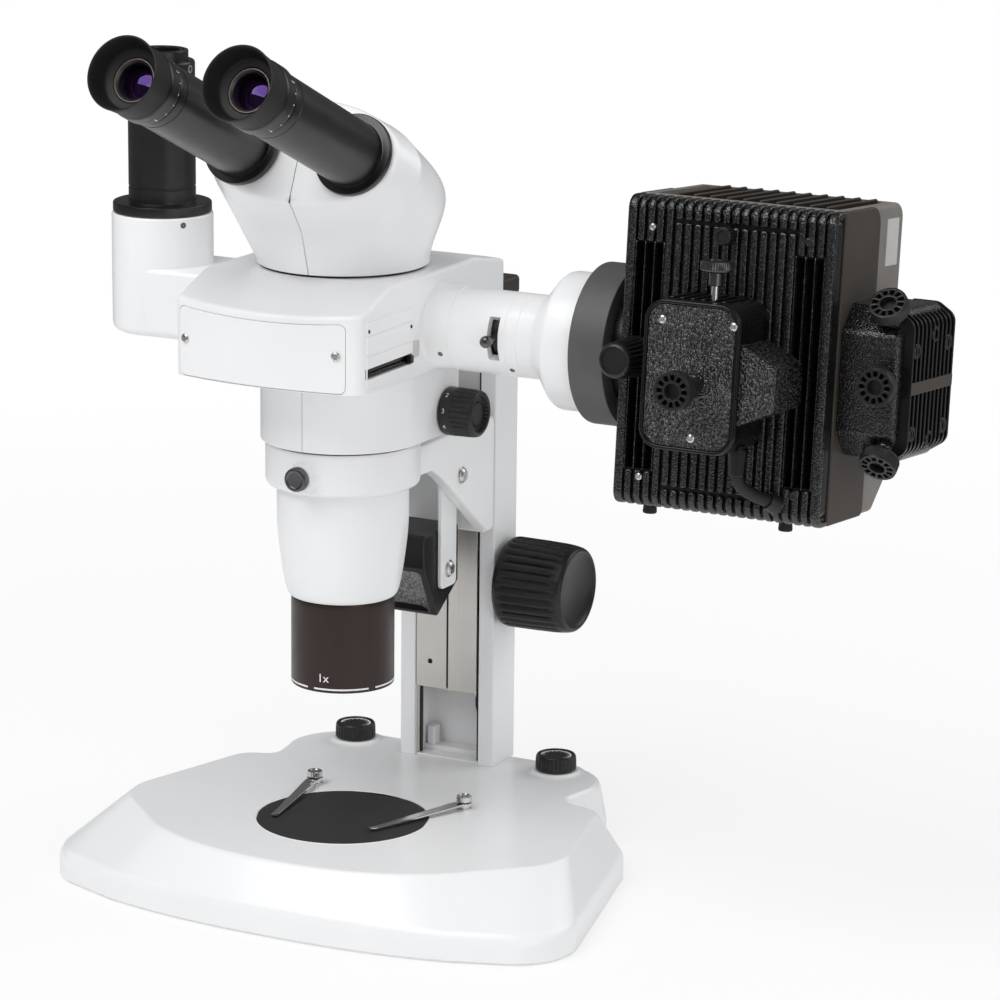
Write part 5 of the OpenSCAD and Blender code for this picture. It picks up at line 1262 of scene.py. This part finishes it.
def rib_bar(shape, x, wide, low, high, wrap_low, wrap_high, proud):
    """One rib of the lamp cover, rounded across its crown, over a run of heights."""
    out, bend = 13.9 + proud, 7.5
    quarter = [(bend * sin(radians(t)), bend * cos(radians(t))) for t in range(0, 91, 15)]
    path = []
    if wrap_low:
        path += [(low, 1.0)] + [(low + bend - s, out - bend + c) for s, c in quarter[::-1]]
    else:
        path += [(low, 10.6), (low + 0.15, out - 1.0), (low + 0.6, out - 0.3), (low + 1.5, out)]
    if wrap_high:
        path += [(high - bend + s, out - bend + c) for s, c in quarter] + [(high, 1.0)]
    else:
        path += [(high - 1.5, out), (high - 0.6, out - 0.3), (high - 0.15, out - 1.0), (high, 10.6)]
    rings, half = [], wide / 2
    for i, (z, y) in enumerate(path):
        a, b = path[max(i - 1, 0)], path[min(i + 1, len(path) - 1)]
        way = Vector((b[0] - a[0], b[1] - a[1])).normalized()
        row = []
        for u, v in ((-1, -3.0), (-1, -1.0), (-0.86, -0.42), (-0.55, -0.08), (0, 0), (0.55, -0.08),
                (0.86, -0.42), (1, -1.0), (1, -3.0)):
            row.append((x + u * half, LAMP_Y0 - (y + way.x * v), z - way.y * v))
        rings.append(row)
    shape.loft(rings, LAMP, True, True)


def make_lamp_case():
    side = softened([(LAMP_Y0, LAMP_Z0, 3), (37, LAMP_Z0, 4), (LAMP_Y1 - 1.5, LAMP_Z0 + 17, 9),
            (LAMP_Y1, LAMP_Z1, 9), (LAMP_Y0, LAMP_Z1, 3)], True, 6)
    shell = Shape().plate(lamp_side(), side, LAMP_X0 + 0.2, LAMP_X1 - 1.4,
            2.4).piece("lamp_case_shell")
    carve(shell, [Shape().box(LAMP, 195, 301, -23, 45, 66, 95, 0.3, 3)])
    settle(shell, "head", "rear_grey", ["lamp_case"])
    cheeks = Shape()
    front = softened([(LAMP_Y0, LAMP_Z0, 2), (20.5, LAMP_Z0, 4), (20.5, LAMP_Z1, 10),
            (LAMP_Y0, LAMP_Z1, 2)], True, 5)
    cheeks.plate(lamp_side(), front, LAMP_X1 - 2.4, LAMP_X1, 0.8)
    cheeks.plate(lamp_side(), front, LAMP_X0, LAMP_X0 + 2.0, 0.6, [ring_path(36, 64)])
    cheeks.done("lamp_case_cheeks", "head", "sheet_grey")
    blades = Shape()
    lean = radians(66)
    for i in range(10):
        place = LAMP @ frame_at((204 + i * 9.6, 0, 78), (cos(lean), 0, sin(lean)), (0, 1, 0))
        blades.box(place, -10, 11.0, -22.8, 44.8, -0.7, 0.7, 0.3, 0.6)
    blades.box(LAMP, 195.5, 300.5, -22.8, 44.8, 66.2, 67.4, 0.3, 1)
    blades.done("lamp_louvres", "head", "sheet_grey")
    behind = LAMP @ back_frame(LAMP_Y1 - 0.9)
    rear = Shape()
    vents = [rounded_rectangle(-204.2 - 9.6 * i, -200.6 - 9.6 * i, 22, 64, 1.7, 4)
            for i in range(10)]
    rear.plate(behind, rounded_rectangle(-301, -195, -56, 76, 4, 5), 0, 1.8, 0.5, vents, 0.0)
    rear.done("lamp_case_back", "head", "rear_grey")
    screws = Shape()
    for x in (-296, -200):
        for z in (-50, 71):
            screws.screw(behind @ upright(x, z, 1.7), 2.3, 1.3)
    screws.done("lamp_back_screws", "head", "dark_chrome")
    sticker = Shape().plate(lamp_side(LAMP_X1 - 1.4), rounded_rectangle(33, 49.5, 53.5, 79, 0.8, 3),
            -0.1, 0.15, 0.05)
    sticker.plate(lamp_side(LAMP_X1 - 1.4), rounded_rectangle(34, 48.5, 62, 78, 0.4, 2), 0.15, 0.22,
            0.0)
    sticker.done("lamp_case_sticker", "head", "sticker")
    feet = Shape()
    for x in (203, 283):
        feet.turn(LAMP @ upright(x, -25, LAMP_Z0), [(3.4, 3.2), (3.6, -1), (3.9, -4.6), (3.6, -5.4),
                (2.8, -5.7), (0, -5.7)], 32)
    feet.done("lamp_feet", "head", "black_rubber")
    latch = Shape().turn(lamp_front(247.2, -42, 70), [(3.2, -4), (3.2, 1.5), (4.6, 1.7), (5.1, 2.2),
            (5.1, 3.4), (5.1, 7.2), (4.8, 8.0), (4.3, 8.4), (3.0, 8.4), (2.7, 7.6), (0, 7.4)], 96,
            ribs(12, 0.6, 2.6, 8.0, 0.6, 0.6))
    latch.done("lamp_cover_latch", "head", "black_plastic")


def make_socket_box():
    x, z, front = 246.0, -2.0, -80.0
    body = Shape()
    outline = turned_way(rounded_rectangle(-27.5, 27.5, -40, 40, 12, 8), True)
    body.plate(lamp_front(x, -40, z), outline, 0, 38.6, 1.8, (), 0.4)
    relief = LAMP @ upright(268, -60, -41)
    body.hoop(relief, [(3.7, -12.8), (4.4, -13), (4.7, -12), (5.0, -6), (5.6, -1), (5.6, 1.5),
            (3.7, 1.5)], 40)
    for k in range(6):
        body.box(lamp_front(x - 15 + 6 * k, -44, z), -1.2, 1.2, 38, 41, 0, 30, 0.5, 0.6)
    body.done("socket_housing", "head", "smooth_black", ["socket_box"])
    rim = Shape()
    rim.plate(lamp_front(x, front + 1.4, z), inset(outline, 0.4), 0, 1.35, 0.65,
            [inset(outline, 2.4)], 0.0)
    rim.done("socket_rim", "head", "smooth_black")
    plate = Shape().plate(lamp_front(x, front + 1.4, z), inset(outline, 2.7), -0.3, 0.75, 0.35)
    lug = softened([(266, 21.7, 2), (293.6, 6.7, 4), (293.7, -16, 5), (266, -28.7, 2)], True, 5)
    plate.plate(lamp_front(0, -40, 0), lug, 0, 36, 1.2, (), 0.2)
    plate.done("socket_plate", "head", "coarse_black")
    screws = Shape()
    for sx, sz in ((229, 27), (270, 27), (249, -34)):
        screws.screw(lamp_front(sx, front + 0.7, sz), 2.3, 1.1)
    screws.done("socket_screws", "head", "bright_steel")
    route = [Vector(p) for p in ((268, -60, -38), (268, -60, -44), (268, -60, -52),
            (269, -58.7, -57.6), (271.7, -55.3, -61.7), (275.3, -50.6, -64.8),
            (279.3, -45.2, -67.4), (283, -40, -70), (285.5, -36.2, -72.2))]
    smooth = []
    for i in range(len(route) - 1):
        a, b = route[max(i - 1, 0)], route[i]
        c, d = route[i + 1], route[min(i + 2, len(route) - 1)]
        smooth += bent(b, c, (c - a) / 2, (d - b) / 2, 5)
    lead = Shape().tube([LAMP @ p for p in smooth + [route[-1]]], 3.5, 24)
    lead.done("lamp_cable", "head", "black_rubber", ["lamp_lead"])
    gland = Shape()
    way = Vector((0.5, 0.75, -0.43)).normalized()
    local = axis_frame(route[-2] - way * 6, way)
    gland.hoop(LAMP @ local, [(3.7, 0.2), (4.6, 0), (5.2, 0.8), (5.4, 5), (6.0, 7), (3.7, 7)], 48)
    gland.done("cable_gland", "head", "black_plastic")


def spoked_knob(shape, place, stem, stem_r):
    """A small knob with a ring of pockets in its face, on a stem along local Z."""
    shape.turn(place, [(stem_r, -3), (stem_r, stem - 1.2), (stem_r + 0.8, stem - 0.2),
            (6.4, stem + 0.6), (8.8, stem + 1.0), (10.1, stem + 1.6), (10.5, stem + 2.4),
            (10.5, stem + 3.2), (10.5, stem + 7.4), (10.3, stem + 8.0), (9.6, stem + 8.0),
            (9.6, stem + 5.0), (0, stem + 5.0)], 192,
            ribs(48, 0.4, stem + 2.2, stem + 8.2, 0.8, 0.7))
    pockets = []
    for k in range(12):
        a, d = 2 * pi * k / 12, 0.175
        corners = [(r * cos(a + t), r * sin(a + t), 0.35) for r, t in ((5.7, -d * 0.95),
                (8.7, -d * 0.85), (8.7, d * 0.85), (5.7, d * 0.95))]
        pockets.append(softened(corners, True, 2))
    shape.plate(place, ring_path(10.25, 72), stem + 5.2, stem + 9.0, 0.4,
            pockets + [ring_path(4.1, 40)], 0.0, 2)


def make_lamp_knobs():
    knob = Shape()
    place = lamp_front(200, -42, 1.5)
    knob.turn(place, [(3, -5), (3, 4), (9.6, 4.2), (10.5, 4.8), (11, 6), (11, 7.4), (10.9, 12),
            (10.4, 22), (9.9, 29), (9.7, 31), (9.3, 32.4), (8.6, 33.2), (7.6, 33.6), (7.2, 33.2),
            (7.0, 32.5), (0, 32.3)], 192, ribs(24, 0.9, 6.5, 31.5, 0.55, 1.6))
    knob.done("collector_grip", "collector_drive", "black_plastic", ["collector_knob"])
    socket = Shape()
    spoked_knob(socket, lamp_front(250, -80, -6), 20, 4.6)
    socket.done("socket_grip", "socket_drive", "black_plastic", ["socket_knob"])
    for name, y, z, lean in MIRROR_SCREWS:
        grip = Shape()
        spoked_knob(grip, mirror_frame(y, z, lean), 5, 3.0)
        grip.done("mirror_grip_" + name, "mirror_" + name, "black_plastic", ["mirror_knob_" + name])
    thumb = Shape()
    place = LAMP @ upright(254, -70, 38)
    thumb.turn(place, [(2.0, 8.2), (3.4, 8.2), (3.8, 8.6), (3.8, 15.0), (4.4, 15.6), (7.8, 15.8),
            (8.4, 16.3), (8.6, 16.9), (8.6, 17.4), (8.6, 20.4), (8.4, 21.1), (7.8, 21.5),
            (7.0, 21.6), (4, 21.6), (3.6, 21.2), (0, 21.2)], 160,
            ribs(40, 0.35, 16.6, 21.0, 0.8, 0.5))
    thumb.done("socket_clamp_grip", "socket_screw", "dark_chrome", ["socket_thumbscrew"])
    pin = Shape().turn(place, [(2.0, -3), (2.0, 8.6), (1.6, 8.9), (0, 8.9)], 32)
    pin.done("socket_clamp_pin", "socket_screw", "chrome")


def make_mirror_box():
    body = Shape()
    outline = softened([(-25, -30, 5), (-25, 24, 5), (-11, 38, 5), (34, 38, 5), (34, -44, 5),
            (-11, -44, 5)], True, 6)
    body.plate(lamp_side(LAMP_X1), outline, -0.5, 33.5, 4.2, (), 1.0)
    for _, y, z, lean in MIRROR_SCREWS:
        body.hoop(mirror_frame(y, z, lean), [(5.6, -6), (5.2, 1.6), (4.6, 2.6), (3.4, 3.0),
                (3.1, 2.0), (3.1, -6)], 36)
    body.done("mirror_block", "head", "lamp_black", ["mirror_box"])
    fins = Shape()
    count, y0, y1 = 11, -19.0, 38.0
    fin = softened([(322, -43.5, 1), (337, -43.5, 7), (347, -37, 7), (347, 31, 7), (337, 37.5, 7),
            (322, 37.5, 1)], True, 5)
    for i in range(count):
        y = y0 + (y1 - y0) * i / (count - 1)
        fins.plate(lamp_front(0, y + 1.0), fin, 0, 2.0, 0.35)
    core = softened([(322, -39, 1), (337, -39, 6), (341.6, -34, 5), (341.6, 28, 5), (337, 33, 6),
            (322, 33, 1)], True, 4)
    fins.plate(lamp_front(0, y1), core, 0, y1 - y0, 0.3)
    fins.done("mirror_fins", "head", "smooth_black")
    band = Shape().box(lamp_side(347.1), y0 - 0.6, y1 + 0.6, -7, -0.5, -3, 0.25, 0.3, 0.6)
    band.done("mirror_band", "head", "sheet_grey")
    bosses = Shape()
    for y, z in ((-13, 16), (-13, -28), (12, 23), (12, -33), (32, 17), (32, -28)):
        bosses.turn(lamp_side(343) @ upright(y, z, 0), [(4.4, -3), (4.4, 3.4), (4.0, 3.9),
                (2.7, 3.9), (2.4, 3.4), (2.4, 0.5), (0, 0.4)], 36)
    bosses.done("mirror_bosses", "head", "smooth_black")


# Studio.

def make_studio():
    scene = bpy.context.scene
    scene.view_settings.view_transform = "Standard"
    scene.world = bpy.data.worlds.new("studio")
    scene.world.use_nodes = True
    air = Nodes(scene.world.node_tree)
    air.tree.nodes.remove(air.tree.nodes["Background"])
    path = air.node("ShaderNodeLightPath", {}, {})
    cool = (0.97, 0.985, 1.0, 1.0)
    room = air.node("ShaderNodeBackground", {}, {"Color": cool, "Strength": 0.52})
    gloss = air.node("ShaderNodeBackground", {}, {"Color": cool, "Strength": 0.13})
    blank = air.node("ShaderNodeBackground", {}, {"Color": (1, 1, 1, 1), "Strength": 1.0})
    unseen = air.node("ShaderNodeMixShader", {}, {0: path.out("Is Glossy Ray"), 1: room, 2: gloss})
    air.show(air.node("ShaderNodeMixShader", {}, {0: path.out("Is Camera Ray"), 1: unseen,
            2: blank}))
    floor = Finish("studio_floor", Roughness=0.9)
    here = floor.here()
    dust = floor.noise(here, 3, 2)
    # Near the object the floor takes its shadow, and further off it fades to plain white.
    away = floor.node("ShaderNodeVectorMath", {"operation": "LENGTH"}, {0: here}).out("Value")
    far = floor.ramp(away, 0.35, 1.3)
    path = floor.node("ShaderNodeLightPath", {}, {})
    # Black finishes mirror the near floor only, so that they keep their depth.
    dim = path.out("Is Glossy Ray") * floor.ramp(away, 0.75, 1.25)
    floor.set("Base Color", floor.mix(dim, floor.mix(dust, tint(0.90), tint(0.92)), tint(0.25)))
    shown = path.out("Is Camera Ray") + path.out("Is Transmission Ray")
    glow = floor.node("ShaderNodeEmission", {}, {"Color": (1, 1, 1, 1), "Strength": 1.0})
    floor.show(floor.node("ShaderNodeMixShader", {}, {0: shown * (0.70 + 0.30 * far),
            1: floor.shader, 2: glow}))
    mesh = bpy.data.meshes.new("studio_floor")
    size = 14.0
    mesh.from_pydata([(-size, -size, 0), (size, -size, 0), (size, size, 0), (-size, size, 0)], [],
            [(0, 1, 2, 3)])
    ground = placed("studio_floor", mesh)
    mesh.materials.append(floor.material)
    centre = Vector((0.06, 0.02, 0.24))
    for name, turn, rise, far, size, power in (("key", -20, 53, 2.4, 1.7, 36),
            ("front", 58, 14, 2.6, 1.4, 10), ("rim", 135, 32, 2.4, 1.6, 13)):
        lamp = bpy.data.lights.new(name, "AREA")
        lamp.energy, lamp.size = power, size
        holder = placed(name, lamp)
        a, e = radians(turn), radians(rise)
        way = Vector((sin(a) * cos(e), -cos(a) * cos(e), sin(e)))
        holder.location = centre + way * far
        holder.rotation_euler = way.to_track_quat("Z", "Y").to_euler()


def paint_carried_nodes():
    """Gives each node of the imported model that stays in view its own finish."""
    for row in frame["record"]["subparts"]:
        node = frame["nodes"].get(row["node"])
        if node is not None:
            node.data.materials.clear()
            node.data.materials.append(FINISHES[row["material_slot"]].material)


for step in (paint_carried_nodes, make_base, make_inlet, make_column, make_stage, make_light_knobs,
        make_focus, make_arm, make_lower_lamp, make_zoom_body, make_zoom_knobs, make_head_box,
        make_shell, make_eyetubes, make_camera_port, make_illuminator, make_lamp_cover,
        make_lamp_case, make_socket_box, make_lamp_knobs, make_mirror_box, make_studio):
    step()
